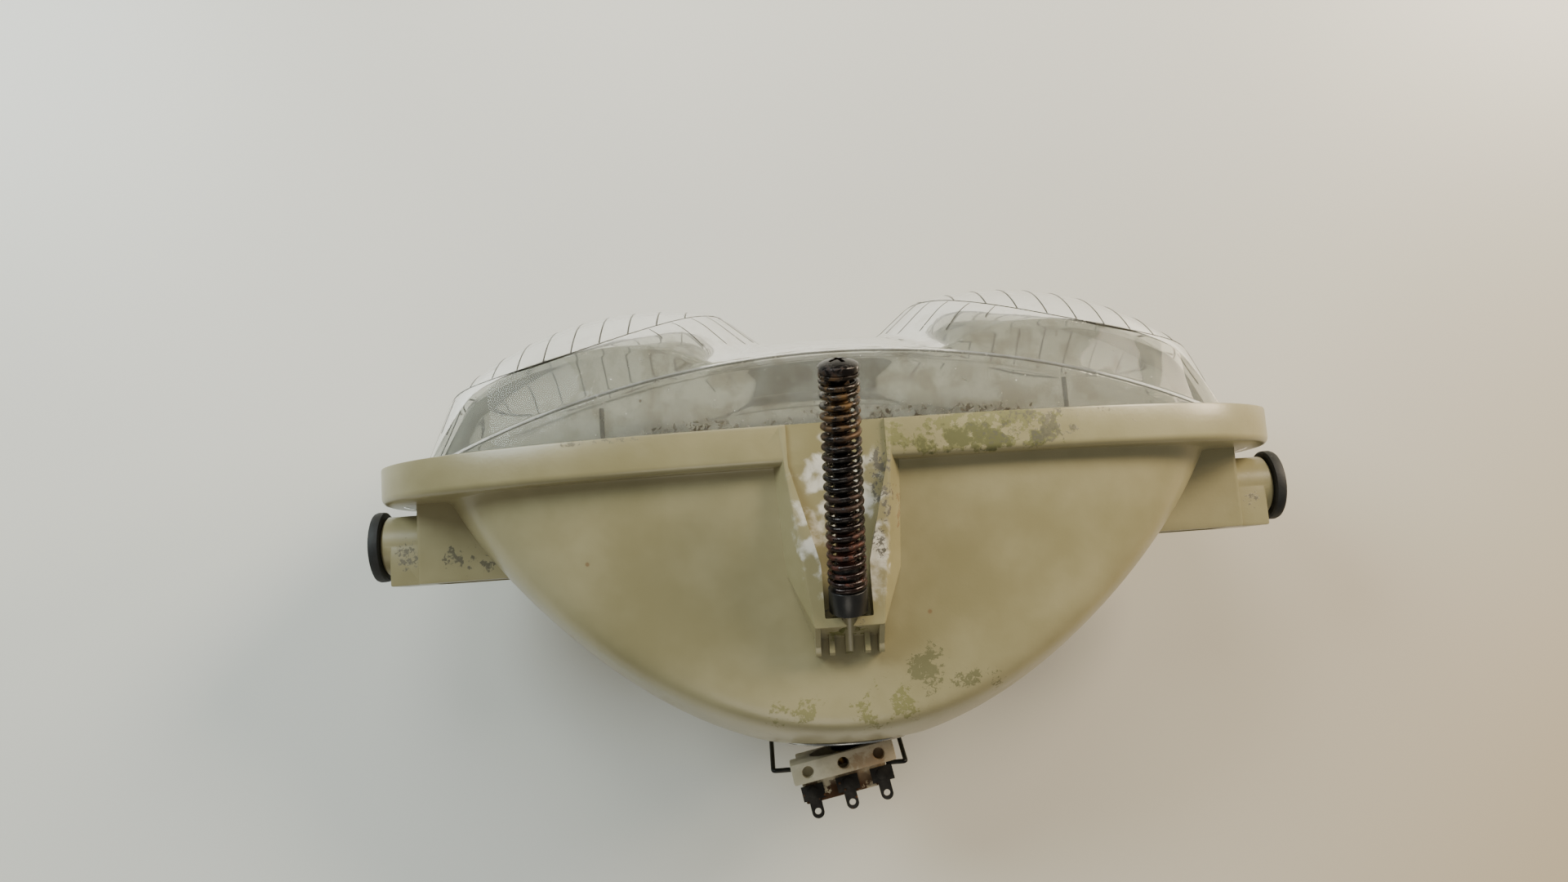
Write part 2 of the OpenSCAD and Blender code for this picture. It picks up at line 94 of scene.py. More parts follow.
lightDials = {
    # name: place, aimed at the lamp from there, size in metres, power in watts, colour
    "warmKey": ((-0.85, -0.62, 0.66), 0.4, 14.0, (1.0, 0.87, 0.68)),
    "warmLow": ((-1.0, -0.35, 0.34), 0.25, 6.0, (1.0, 0.83, 0.62)),
    "coolFill": ((0.85, -0.65, 0.8), 0.6, 12.0, (0.86, 0.97, 1.0)),
    "frontSoft": ((0.1, -0.9, 0.9), 0.6, 5.0, (1.0, 0.98, 0.92)),
    "rearLow": ((0.15, 0.95, 0.9), 0.7, 3.0, (1.0, 0.93, 0.80)),
}
skyColour = (0.80, 0.82, 0.78)
skyStrength = 0.25


def makeLights():
    for name, (place, size, power, colour) in lightDials.items():
        data = bpy.data.lights.new(name, "AREA")
        data.shape = "DISK"
        data.size = size
        data.energy = power
        data.color = colour
        lamp = bpy.data.objects.new(name, data)
        lamp.location = place
        lamp.rotation_euler = (-Vector(place)).to_track_quat("-Z", "Y").to_euler()
        bpy.context.scene.collection.objects.link(lamp)
    world = bpy.data.worlds.new("sky")
    world.use_nodes = True
    back = world.node_tree.nodes["Background"]
    back.inputs["Color"].default_value = (*skyColour, 1)
    back.inputs["Strength"].default_value = skyStrength
    bpy.context.scene.world = world


# --- shader helpers

def socketGroup(name, inputs, outputs):
    tree = bpy.data.node_groups.new(name, "ShaderNodeTree")
    for label, kind, value in inputs:
        socket = tree.interface.new_socket(label, in_out="INPUT", socket_type=kind)
        if value is not None:
            socket.default_value = value
    for label, kind in outputs:
        tree.interface.new_socket(label, in_out="OUTPUT", socket_type=kind)
    return tree, tree.nodes.new("NodeGroupInput"), tree.nodes.new("NodeGroupOutput")


def feed(tree, node, values):
    for slot, value in values.items():
        if hasattr(value, "links"):                       # a socket is linked, anything else is typed in
            tree.links.new(value, node.inputs[slot])
        elif value is not None:
            node.inputs[slot].default_value = value
    return node


def mathNode(tree, operation, a, b=None, c=None):
    node = tree.nodes.new("ShaderNodeMath")
    node.operation = operation
    return feed(tree, node, {0: a, 1: b, 2: c}).outputs[0]


def vectorNode(tree, operation, a, b=None, output="Vector"):
    node = tree.nodes.new("ShaderNodeVectorMath")
    node.operation = operation
    return feed(tree, node, {0: a, 1: b}).outputs[output]


def times(tree, a, b):
    return mathNode(tree, "MULTIPLY", a, b)


def smoothRange(tree, value, low, high):
    node = tree.nodes.new("ShaderNodeMapRange")
    node.interpolation_type = "SMOOTHSTEP"
    return feed(tree, node, {"Value": value, "From Min": low, "From Max": high}).outputs["Result"]


def noiseNode(tree, vector, scale, detail, rough, distortion=0):
    node = tree.nodes.new("ShaderNodeTexNoise")
    feed(tree, node, {"Vector": vector, "Scale": scale, "Detail": detail, "Roughness": rough,
                      "Distortion": distortion})
    return node.outputs["Fac"]


def mixColour(tree, factor, low, high):
    node = tree.nodes.new("ShaderNodeMix")
    node.data_type = "RGBA"
    return feed(tree, node, {0: factor, 6: low, 7: high}).outputs[2]       # 6, 7 and 2 are its colour sockets


def mixValue(tree, factor, low, high):
    span = mathNode(tree, "SUBTRACT", high, low)
    return mathNode(tree, "MULTIPLY_ADD", factor, span, low)


def buildPatch():
    tree, source, sink = socketGroup("patch", [
        ("Vector", "NodeSocketVector", None), ("Centre", "NodeSocketVector", None),
        ("Size", "NodeSocketVector", (0.01, 0.01, 0.01)), ("Scale", "NodeSocketFloat", 400.0),
        ("Cover", "NodeSocketFloat", 0.5), ("Edge", "NodeSocketFloat", 0.05),
    ], [("Mask", "NodeSocketFloat")])
    given = source.outputs
    away = vectorNode(tree, "SUBTRACT", given["Vector"], given["Centre"])
    far = vectorNode(tree, "LENGTH", vectorNode(tree, "DIVIDE", away, given["Size"]), output="Value")
    near = smoothRange(tree, far, 1.15, 0.25)             # 1 in the patch's middle, 0 past its outline
    lumps = smoothRange(tree, noiseNode(tree, given["Vector"], 170.0, 2, 0.5), 0.34, 0.6)
    near = times(tree, near, mathNode(tree, "ADD", times(tree, lumps, 0.6), 0.48))
    grit = noiseNode(tree, given["Vector"], given["Scale"], 6, 0.68, 0.4)
    need = mathNode(tree, "SUBTRACT", 0.86, times(tree, near, given["Cover"]))
    above = mathNode(tree, "ADD", need, given["Edge"])
    mask = times(tree, smoothRange(tree, grit, need, above), smoothRange(tree, near, 0, 0.2))
    tree.links.new(mask, sink.inputs["Mask"])
    return tree


def buildSpecks():
    tree, source, sink = socketGroup("specks", [
        ("Vector", "NodeSocketVector", None), ("Scale", "NodeSocketFloat", 300.0),
        ("Radius", "NodeSocketFloat", 0.12), ("Share", "NodeSocketFloat", 0.3),
    ], [("Mask", "NodeSocketFloat")])
    given = source.outputs
    cells = tree.nodes.new("ShaderNodeTexVoronoi")
    feed(tree, cells, {"Vector": given["Vector"], "Scale": given["Scale"]})
    dot = smoothRange(tree, cells.outputs["Distance"], given["Radius"], times(tree, given["Radius"], 0.4))
    split = feed(tree, tree.nodes.new("ShaderNodeSeparateColor"), {0: cells.outputs["Color"]})
    some = mathNode(tree, "LESS_THAN", split.outputs[0], given["Share"])
    tree.links.new(times(tree, dot, some), sink.inputs["Mask"])
    return tree


def buildGrain():
    tree, source, sink = socketGroup("grain", [
        ("Vector", "NodeSocketVector", None), ("Scale", "NodeSocketFloat", 2000.0),
        ("Depth", "NodeSocketFloat", 0.00002), ("Extra", "NodeSocketFloat", 0.0),
    ], [("Normal", "NodeSocketVector")])
    given = source.outputs
    fine = noiseNode(tree, given["Vector"], given["Scale"], 3, 0.6)
    broad = noiseNode(tree, given["Vector"], 90.0, 2, 0.5)
    height = mathNode(tree, "ADD", fine, times(tree, broad, 2.0))
    height = mathNode(tree, "ADD", height, given["Extra"])
    bump = tree.nodes.new("ShaderNodeBump")
    feed(tree, bump, {"Strength": 1.0, "Height": height, "Distance": given["Depth"]})
    tree.links.new(bump.outputs["Normal"], sink.inputs["Normal"])
    return tree


def buildTint():
    tree, source, sink = socketGroup("tint", [
        ("Vector", "NodeSocketVector", None), ("Scale", "NodeSocketFloat", 40.0),
        ("Low", "NodeSocketColor", (0.5, 0.5, 0.5, 1)), ("High", "NodeSocketColor", (0.8, 0.8, 0.8, 1)),
    ], [("Color", "NodeSocketColor")])
    given = source.outputs
    cloud = smoothRange(tree, noiseNode(tree, given["Vector"], given["Scale"], 4, 0.6), 0.3, 0.7)
    tree.links.new(mixColour(tree, cloud, given["Low"], given["High"]), sink.inputs["Color"])
    return tree


effects = {"patch": buildPatch(), "specks": buildSpecks(), "grain": buildGrain(), "tint": buildTint()}


def newMaterial(name, **plain):
    material = bpy.data.materials.new(name)
    material.use_nodes = True
    tree = material.node_tree
    shader = tree.nodes["Principled BSDF"]
    for label, value in plain.items():
        shader.inputs[label.replace("_", " ")].default_value = value
    coords = tree.nodes.new("ShaderNodeTexCoord")
    return material, tree, shader, coords.outputs["Object"]


def effect(tree, kind, vector, **values):
    node = tree.nodes.new("ShaderNodeGroup")
    node.node_tree = effects[kind]
    return feed(tree, node, {"Vector": vector, **values}).outputs


def patchMask(tree, spot, centre, size, scale, cover, edge):
    return effect(tree, "patch", spot, Centre=centre, Size=size, Scale=scale, Cover=cover, Edge=edge)["Mask"]


def speckMask(tree, spot, scale, radius, share):
    return effect(tree, "specks", spot, Scale=scale, Radius=radius, Share=share)["Mask"]


def tinted(tree, spot, scale, low, high):
    return effect(tree, "tint", spot, Scale=scale, Low=low, High=high)["Color"]


def grained(tree, spot, scale, depth, extra=None):
    return effect(tree, "grain", spot, Scale=scale, Depth=depth, Extra=extra)["Normal"]


def finishShader(tree, shader, colour, rough, normal):
    feed(tree, shader, {"Base Color": colour, "Roughness": rough, "Normal": normal})


def rgb(r, g, b):
    linear = [((c / 255 + 0.055) / 1.055) ** 2.4 if c > 10 else c / 255 / 12.92 for c in (r, g, b)]
    return (*linear, 1.0)


# --- materials

lensIndex = 1.12            # real lens plastic is about 1.5

housingTones = {
    "pale": rgb(156, 148, 113),
    "aged": rgb(136, 128, 92),
    # painted light: the palest tone, laid over the pod to make it look more strongly lit
    "paintedLight": rgb(214, 210, 196),
    "moss": rgb(98, 100, 40),
    "darkMoss": rgb(70, 74, 36),
    "mildew": rgb(86, 82, 74),
    "soot": rgb(44, 42, 36),
    "brown": rgb(120, 92, 62),
}

# patches of growth and grime: centre, size, both in mm, grit, cover, colour, strength
housingPatches = [
    ((-42, -15.5, 48.5), (50, 11, 6), 630, 0.6, "moss", 0.6),
    ((-40, -14, 48.5), (38, 8, 5), 970, 0.55, "darkMoss", 0.6),
    ((-66, -16, 48.5), (50, 10, 6), 880, 0.56, "mildew", 0.6),
    ((-90, -17, 46), (28, 8, 8), 970, 0.52, "mildew", 0.75),
    ((-10.5, -4, 47), (5.5, 17, 7), 760, 0.45, "mildew", 0.85),
    ((-9, 8, 46), (4.5, 12, 7), 880, 0.43, "soot", 0.81),
    ((8, 13, 44), (4.5, 7, 6), 880, 0.4, "soot", 0.85),
    ((-13.5, 0, 43), (3.5, 15, 8), 550, 0.42, "brown", 0.56),
    ((0, 24, 46), (12, 12, 8), 800, 0.39, "mildew", 0.81),
    ((0, 32, 43), (11, 5, 7), 500, 0.45, "moss", 0.75),
    ((-19, 42, 37), (9, 11, 10), 880, 0.48, "darkMoss", 0.62),
    ((-9, 50, 35), (16, 12, 10), 800, 0.45, "moss", 0.62),
    ((-32, 46, 35), (14, 7, 10), 970, 0.42, "darkMoss", 0.62),
    ((14, 50, 34), (18, 8, 10), 880, 0.4, "moss", 0.53),
    ((99, 5, 10), (14, 9, 6), 710, 0.45, "soot", 0.69),
    ((117, 3, 5), (7, 9, 9), 880, 0.45, "mildew", 0.75),
    ((-117, 3, 5), (8, 9, 9), 880, 0.4, "mildew", 0.75),
    ((-70, -19.5, 46), (50, 2, 6), 760, 0.37, "mildew", 0.62),
    ((70, -19.8, 46), (52, 1.4, 6), 760, 0.36, "mildew", 0.62),
]


def housingMaterial():
    material, tree, shader, spot = newMaterial("aged_cream_plastic", IOR=1.49, Coat_Weight=0.12,
                                               Coat_Roughness=0.16)
    colour = tinted(tree, spot, 26.0, housingTones["aged"], housingTones["pale"])
    # painted light: a pale layer painted over the pod's floor and side walls, making them lighter as if more
    # light fell there
    overlay = patchMask(tree, spot, (0, 0.004, 0.05), (0.02, 0.034, 0.012), 160.0, 0.75, 0.35)
    colour = mixColour(tree, overlay, colour, housingTones["paintedLight"])
    dull = patchMask(tree, spot, (0, 0, 0), (0.3, 0.2, 0.2), 70.0, 0.42, 0.4)
    grime = None
    for centre, size, grit, cover, name, strength in housingPatches:
        centre, size = [[c * mm for c in triple] for triple in (centre, size)]
        mask = times(tree, patchMask(tree, spot, centre, size, float(grit), cover, 0.09), strength)
        colour = mixColour(tree, mask, colour, housingTones[name])
        grime = mask if grime is None else mathNode(tree, "MAXIMUM", grime, mask)
    dots = speckMask(tree, spot, 95.0, 0.075, 0.16)
    colour = mixColour(tree, times(tree, dots, 0.7), colour, housingTones["brown"])
    rough = mixValue(tree, grime, mixValue(tree, dull, 0.3, 0.42), 0.85)
    finishShader(tree, shader, colour, rough, grained(tree, spot, 900.0, 0.00003, grime))
    return material


def mirrorMaterial():
    material, tree, shader, spot = newMaterial("metallised_reflector", Metallic=1.0)
    haze = patchMask(tree, spot, (0, 0, 0), (0.3, 0.2, 0.2), 60.0, 0.5, 0.3)
    colour = mixColour(tree, haze, rgb(214, 214, 208), rgb(190, 188, 178))
    finishShader(tree, shader, colour, mixValue(tree, haze, 0.28, 0.42), grained(tree, spot, 300.0, 0.00002))
    return material


def lensMaterial():
    # a low index keeps the eyes' faces from going white at a glancing angle
    material, tree, shader, spot = newMaterial("clear_lens_plastic", IOR=lensIndex, Transmission_Weight=0.84)
    overlay = patchMask(tree, spot, (0, -0.03, 0.04), (0.14, 0.05, 0.03), 110.0, 0.55, 0.3)
    dots = speckMask(tree, spot, 210.0, 0.13, 0.13)
    fine = speckMask(tree, spot, 620.0, 0.16, 0.1)
    foot = patchMask(tree, spot, (0, -0.0215, 0.046), (0.12, 0.005, 0.02), 700.0, 0.33, 0.08)
    dirt = mathNode(tree, "MAXIMUM", dots, times(tree, fine, 0.6))
    dirt = mathNode(tree, "MAXIMUM", dirt, times(tree, foot, 0.8))
    colour = mixColour(tree, overlay, rgb(204, 205, 196), rgb(182, 180, 168))
    colour = mixColour(tree, dirt, colour, rgb(84, 66, 52))
    dull = mathNode(tree, "MAXIMUM", times(tree, overlay, 0.25), dirt)
    finishShader(tree, shader, colour, mixValue(tree, dull, 0.025, 0.6),
                 grained(tree, spot, 260.0, 0.00002, dirt))
    return material


def plainMaterial(name, low, high, rough, grainScale=1500.0, grainDepth=0.00003, speck=None, speckShare=0.3,
                  **plain):
    material, tree, shader, spot = newMaterial(name, **plain)
    colour = tinted(tree, spot, 120.0, low, high)
    worn = speckMask(tree, spot, 700.0, 0.35, speckShare)
    if speck:
        colour = mixColour(tree, worn, colour, speck)
    finishShader(tree, shader, colour, mixValue(tree, worn, rough, min(1.0, rough + 0.25)),
                 grained(tree, spot, grainScale, grainDepth, worn))
    return material


joints = {joint["name"]: joint for joint in frame["joints"]}
screwAxis = Vector(joints["adjuster_travel"]["axis"]).normalized()
screwTop = Vector(joints["adjuster_turn"]["pos_m"])


def rustMaterial():
    material, tree, shader, spot = newMaterial("rusty_spring_steel", IOR=1.6, Metallic=0.55)
    along = vectorNode(tree, "DOT_PRODUCT", spot, screwAxis, output="Value")
    down = mathNode(tree, "SUBTRACT", along, screwTop.dot(screwAxis))      # metres below the screw's head
    # partly the rust's own colour, partly painted glints: a gold tone on the upper coils stands in for light
    # glinting off the wire
    glintAndRustTop = times(tree, smoothRange(tree, down, 0.024, 0.008), smoothRange(tree, down, 0.002, 0.005))
    redFoot = smoothRange(tree, down, 0.034, 0.05)
    cloud = patchMask(tree, spot, screwTop + screwAxis * 0.028, (0.03, 0.05, 0.05), 520.0, 0.5, 0.2)
    dark = mixColour(tree, cloud, rgb(20, 14, 11), rgb(48, 30, 20))
    glintAndRustGold = mixColour(tree, cloud, rgb(34, 24, 14), rgb(100, 73, 37))
    red = mixColour(tree, cloud, rgb(32, 17, 12), rgb(80, 40, 26))
    colour = mixColour(tree, glintAndRustTop, mixColour(tree, redFoot, dark, red), glintAndRustGold)
    finishShader(tree, shader, colour, mixValue(tree, cloud, 0.24, 0.5),
                 grained(tree, spot, 1600.0, 0.00006, cloud))
    return material


def holderMaterial():
    material, tree, shader, spot = newMaterial("stained_cream_phenolic", IOR=1.5)
    split = feed(tree, tree.nodes.new("ShaderNodeSeparateXYZ"), {0: spot})
    rightward = smoothRange(tree, split.outputs["X"], 0.012, -0.012)
    rearward = smoothRange(tree, split.outputs["Y"], 0.0695, 0.0745)
    colour = tinted(tree, spot, 160.0, rgb(176, 168, 142), rgb(206, 198, 174))
    stain = patchMask(tree, spot, (-0.006, 0.070, 0.006), (0.018, 0.012, 0.012), 420.0, 0.6, 0.2)
    colour = mixColour(tree, times(tree, rightward, 0.45), colour, rgb(150, 118, 74))
    colour = mixColour(tree, times(tree, stain, 0.55), colour, rgb(128, 92, 52))
    crust = patchMask(tree, spot, (0.002, 0.076, 0.0015), (0.02, 0.008, 0.006), 800.0, 0.75, 0.16)
    crust = times(tree, crust, rearward)
    colour = mixColour(tree, crust, colour, rgb(70, 46, 24))
    finishShader(tree, shader, colour, mixValue(tree, crust, 0.5, 0.9),
                 grained(tree, spot, 1300.0, 0.00008, crust))
    return material


def floorMaterial():
    material, tree, shader, spot = newMaterial("pale_floor", IOR=1.45, Roughness=0.32)
    colour = tinted(tree, spot, 1.4, rgb(224, 226, 219), rgb(234, 234, 227))
    # painted shade: the floor is painted warmer and darker around one corner, standing in for the way the
    # lights fall off there
    paintedShadeCorner = (-0.42, 0.24, cadLow.z)
    paintedWarmShade = smoothRange(tree, vectorNode(tree, "DISTANCE", spot, paintedShadeCorner, output="Value"), 0.62, 0.05)
    colour = mixColour(tree, paintedWarmShade, colour, rgb(176, 154, 116))
    dots = speckMask(tree, spot, 11.0, 0.02, 0.14)
    colour = mixColour(tree, times(tree, dots, 0.55), colour, rgb(120, 112, 96))
    tree.links.new(colour, shader.inputs["Base Color"])
    return material


finishes = {
    "housing": housingMaterial(),
    "mirror_skin": mirrorMaterial(),
    "clear_lens": lensMaterial(),
    # painted shade: the lens's ribs, edge lines and pegs are clear plastic, but this darker tint paints the
    # dark lines that refraction draws along them
    "rib_glass": plainMaterial("lens_rib_plastic", rgb(76, 75, 69), rgb(106, 104, 96), 0.15, 300.0, 0.00001,
                               IOR=lensIndex, Transmission_Weight=0.5),
    "sealant": plainMaterial("pale_sealant", rgb(150, 138, 112), rgb(188, 180, 158), 0.5, 700.0, 0.0001),
    "rubber": plainMaterial("black_rubber", rgb(16, 17, 16), rgb(36, 37, 35), 0.62, 1200.0, 0.00006,
                            rgb(96, 96, 90), 0.06),
    "plated_steel": plainMaterial("plated_steel", rgb(128, 126, 120), rgb(150, 150, 146), 0.32, Metallic=1.0),
    "rusty_steel": rustMaterial(),
    "black_plastic": plainMaterial("black_nylon", rgb(12, 12, 12), rgb(26, 25, 24), 0.35),
    "ceramic": holderMaterial(),
    "brass": plainMaterial("dull_brass", rgb(150, 112, 62), rgb(184, 146, 88), 0.35, Metallic=1.0),
    "dark_spade": plainMaterial("blackened_steel", rgb(26, 24, 22), rgb(52, 50, 46), 0.45, 900.0, 0.00008,
                                rgb(92, 62, 38), 0.16, Metallic=0.6),
    "bulb_glass": plainMaterial("bulb_glass", rgb(248, 248, 246), rgb(240, 240, 238), 0.02, 200.0, 0.000005,
                                IOR=1.45, Transmission_Weight=1.0),
    "bulb_base": plainMaterial("nickel_cap", rgb(152, 152, 150), rgb(190, 190, 188), 0.25, Metallic=1.0),
    "bail_wire": plainMaterial("black_spring_wire", rgb(20, 21, 20), rgb(44, 44, 40), 0.4, 1500.0, 0.00005,
                               rgb(86, 60, 40), 0.12, Metallic=0.7),
}
print("materials:", len(finishes))


# --- mesh helpers: points are in millimetres until the mesh is made

def shadeByAngle(piece, angle):
    for face in piece.data.polygons:
        face.use_smooth = True
    piece.data.set_sharp_from_angle(angle=math.radians(angle))


def makePiece(name, points, faces, finish=None, angle=35):
    mesh = bpy.data.meshes.new(name)
    mesh.from_pydata([Vector(p) * mm for p in points], [], faces)
    piece = bpy.data.objects.new(name, mesh)
    bpy.context.scene.collection.objects.link(piece)
    work = bmesh.new()
    work.from_mesh(mesh)
    bmesh.ops.remove_doubles(work, verts=work.verts, dist=1e-7)
    bmesh.ops.recalc_face_normals(work, faces=work.faces)
    work.to_mesh(mesh)
    work.free()
    if finish:
        mesh.materials.append(finishes[finish])
    shadeByAngle(piece, angle)
    return piece


def loft(name, rings, finish=None, ends="capped", angle=35):
    count = len(rings[0])
    points = [p for ring in rings for p in ring]
    faces = []
    last = len(rings) if ends == "joined" else len(rings) - 1
    for i in range(last):
        a, b = i * count, ((i + 1) % len(rings)) * count
        faces += [(a + j, a + (j + 1) % count, b + (j + 1) % count, b + j) for j in range(count)]
    if ends == "capped":
        for ring, base in ((rings[0], 0), (rings[-1], (len(rings) - 1) * count)):
            middle = sum((Vector(p) for p in ring), Vector()) / count
            points.append(middle)
            faces += [(base + j, base + (j + 1) % count, len(points) - 1) for j in range(count)]
    return makePiece(name, points, faces, finish, angle)


def axisFrame(origin, axis):
    out = Vector(axis).normalized()
    side = out.orthogonal().normalized()
    return Matrix((side, out.cross(side), out)).transposed().to_4x4(), Vector(origin)


def turned(name, profile, origin, axis, finish=None, around=48, bore=False, angle=35):
    turn, place = axisFrame(origin, axis)
    rings = []
    for radius, along in profile:
        ring = [Vector((radius * math.cos(t), radius * math.sin(t), along))
                for t in [2 * math.pi * k / around for k in range(around)]]
        rings.append([turn @ p + place for p in ring])
    return loft(name, rings, finish, "joined" if bore else "capped", angle)


def blockOf(name, low, high, rounding, turn=None):
    work = bmesh.new()
    bmesh.ops.create_cube(work, size=1)
    low, high = Vector(low) * mm, Vector(high) * mm
    for v in work.verts:
        v.co = Vector([l + (c + 0.5) * (h - l) for l, h, c in zip(low, high, v.co)])
    if rounding:
        bmesh.ops.bevel(work, geom=work.edges[:], offset=rounding * mm, segments=2, profile=0.6,
                        affect="EDGES")
    if turn:
        bmesh.ops.transform(work, matrix=turn, verts=work.verts)
    return fromBmesh(name, work)


def hullOf(name, points, rounding):
    work = bmesh.new()
    for p in points:
        work.verts.new(Vector(p) * mm)
    made = bmesh.ops.convex_hull(work, input=work.verts)
    bmesh.ops.delete(work, geom=made["geom_interior"], context="VERTS")
    bmesh.ops.dissolve_limit(work, angle_limit=math.radians(2), verts=work.verts, edges=work.edges)
    if rounding:
        bmesh.ops.bevel(work, geom=work.edges[:], offset=rounding * mm, segments=2, profile=0.6,
                        affect="EDGES")
    return fromBmesh(name, work)


def fromBmesh(name, work, finish=None, angle=35):
    bmesh.ops.recalc_face_normals(work, faces=work.faces)
    mesh = bpy.data.meshes.new(name)
    work.to_mesh(mesh)
    work.free()
    piece = bpy.data.objects.new(name, mesh)
    bpy.context.scene.collection.objects.link(piece)
    if finish:
        mesh.materials.append(finishes[finish])
    shadeByAngle(piece, angle)
    return piece


def bake(piece, finish=None, angle=35):
    bpy.context.view_layer.update()
    shown = piece.evaluated_get(bpy.context.evaluated_depsgraph_get())
    mesh = bpy.data.meshes.new_from_object(shown)
    piece.modifiers.clear()
    piece.data = mesh
    if finish:
        mesh.materials.clear()
        mesh.materials.append(finishes[finish])
        for face in mesh.polygons:
            face.material_index = 0
    if angle:
        shadeByAngle(piece, angle)
    return piece


def combine(base, operation, *tools):
    for tool in tools:
        modifier = base.modifiers.new("combine", "BOOLEAN")
        modifier.operation = operation
        modifier.solver = "MANIFOLD"
        modifier.object = tool
    bake(base)
    for tool in tools:
        bpy.data.objects.remove(tool)
    return base


def place(piece, body, slotName, *nodes):
    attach(piece, body)
    if nodes:
        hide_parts(*nodes)
    return piece


def blendTo(a, b, share):
    return a + (b - a) * share


# --- housing

housingLow, housingHigh = [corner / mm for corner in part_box("housing")]
lensLow, lensHigh = [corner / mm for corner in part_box("lens")]
shell = {
    "rimW": 248, "rimH": 2 * housingHigh.z, "rimFront": housingLow.y, "rimDepth": 10,
    "square": 2.5,                       # exponent of the outline
    "wall": 2.5,
    "edge": 2.0,                         # rounding of the rim's rear edge
    "bowlBack": 63.5, "bowlCoeff": 155,  # the paraboloid
    "neck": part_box("bulb_seal")[0].y / mm, "hole": 13,
    "flatFront": (113, 45), "flatBack": (95, 34.5),
    "blend": 20,                         # higher is a sharper turn from flat to paraboloid
    "around": 288,
    "bowlRings": 36,
}
rimBack = shell["rimFront"] + shell["rimDepth"]
ledge = rimBack - shell["wall"]


def outlineAngles(count, width, height):
    # spaced so that the points crowd at the outline's corners
    power = 2 / shell["square"]
    spaced = []
    for t in [2 * math.pi * k / count for k in range(count)]:
        across = width * math.copysign(abs(math.cos(t)) ** power, math.cos(t))
        up = height * math.copysign(abs(math.sin(t)) ** power, math.sin(t))
        spaced.append(math.atan2(up, across))
    return spaced


angles = outlineAngles(shell["around"], shell["rimW"], shell["rimH"])


def outlineRadius(angle, halfW, halfH):
    n = shell["square"]
    return ((abs(math.cos(angle)) / halfW) ** n + (abs(math.sin(angle)) / halfH) ** n) ** (-1 / n)


def atRadius(angle, radius, y):
    return Vector((radius * math.cos(angle), y, radius * math.sin(angle)))


def rimPoint(angle, inset, y):
    return atRadius(angle, outlineRadius(angle, shell["rimW"] / 2 - inset, shell["rimH"] / 2 - inset), y)


def bowlPoint(angle, y):
    share = (y - shell["rimFront"]) / (shell["bowlBack"] - shell["rimFront"])
    half = [blendTo(f, b, share) for f, b in zip(shell["flatFront"], shell["flatBack"])]
    dish = math.sqrt(shell["bowlCoeff"] * max(shell["bowlBack"] - y, 0.01))
    flat = outlineRadius(angle, *half)
    k = shell["blend"]
    return atRadius(angle, (dish ** -k + flat ** -k) ** (-1 / k), y)


def bowlInside(angle, y, depth):
    step = 0.004
    across = bowlPoint(angle + step, y) - bowlPoint(angle - step, y)
    along = bowlPoint(angle, y + step) - bowlPoint(angle, y - step)
    out = across.cross(along).normalized()
    here = bowlPoint(angle, y)
    if out.dot(Vector((here.x, 0, here.z))) < 0:
        out = -out
    return here - out * depth


def bowlStations(first, last):
    widest = math.sqrt(shell["bowlCoeff"] * (shell["bowlBack"] - first))
    narrowest = math.sqrt(shell["bowlCoeff"] * (shell["bowlBack"] - last))
    steps = shell["bowlRings"]
    radii = [blendTo(widest, narrowest, k / steps) for k in range(steps + 1)]
    return [shell["bowlBack"] - r * r / shell["bowlCoeff"] for r in radii]


def buildShell():
    front, edge, wall = shell["rimFront"], shell["edge"], shell["wall"]
    rings = []
    for inset, y in [(0.5, front), (0.12, front + 0.15), (0, front + 0.55), (0, (front + rimBack) / 2)]:
        rings.append([rimPoint(a, inset, y) for a in angles])
    for k in range(7):
        bend = math.radians(15 * k)
        rings.append([rimPoint(a, edge - edge * math.cos(bend), rimBack - edge + edge * math.sin(bend))
                      for a in angles])
    for share, lift in ((0.5, 0), (0.86, 0.02), (0.96, 0.16)):
        rings.append([rimPoint(a, edge, rimBack).lerp(bowlPoint(a, rimBack), share) + Vector((0, lift, 0))
                      for a in angles])
    outside = bowlStations(rimBack + 0.7, shell["neck"] - 0.25)
    rings += [[bowlPoint(a, y) for a in angles] for y in outside]
    neck, hole = shell["neck"], shell["hole"]
    lip = math.sqrt(shell["bowlCoeff"] * (shell["bowlBack"] - neck)) - 0.35
    inner = neck - wall
    for radius, y in [(lip, neck), (hole + 0.4, neck), (hole, neck - 0.4), (hole, inner + 0.4),
                      (hole + 0.4, inner), (lip - 1.2, inner)]:
        rings.append([atRadius(a, radius, y) for a in angles])
    rings += [[bowlInside(a, y, wall) for a in angles] for y in reversed(outside[:-1])]
    rings.append([Vector((p.x, ledge, p.z)) for p in [bowlInside(a, rimBack, wall) for a in angles]])
    for inset, y in [(wall + 0.4, ledge), (wall, ledge - 0.4), (wall, front + 0.4), (wall - 0.4, front)]:
        rings.append([rimPoint(a, inset, y) for a in angles])
    return loft("housing_shell", rings, ends="joined")


wingDials = {
    "from": 60, "endX": 114, "halfH": 10, "back": 11.4, "wall": 2.5, "rounding": 0.9,
    "bossR": 8.3, "bossFrom": 106, "bossX": housingHigh.x, "padX": 122, "bushR": 6.2,
}


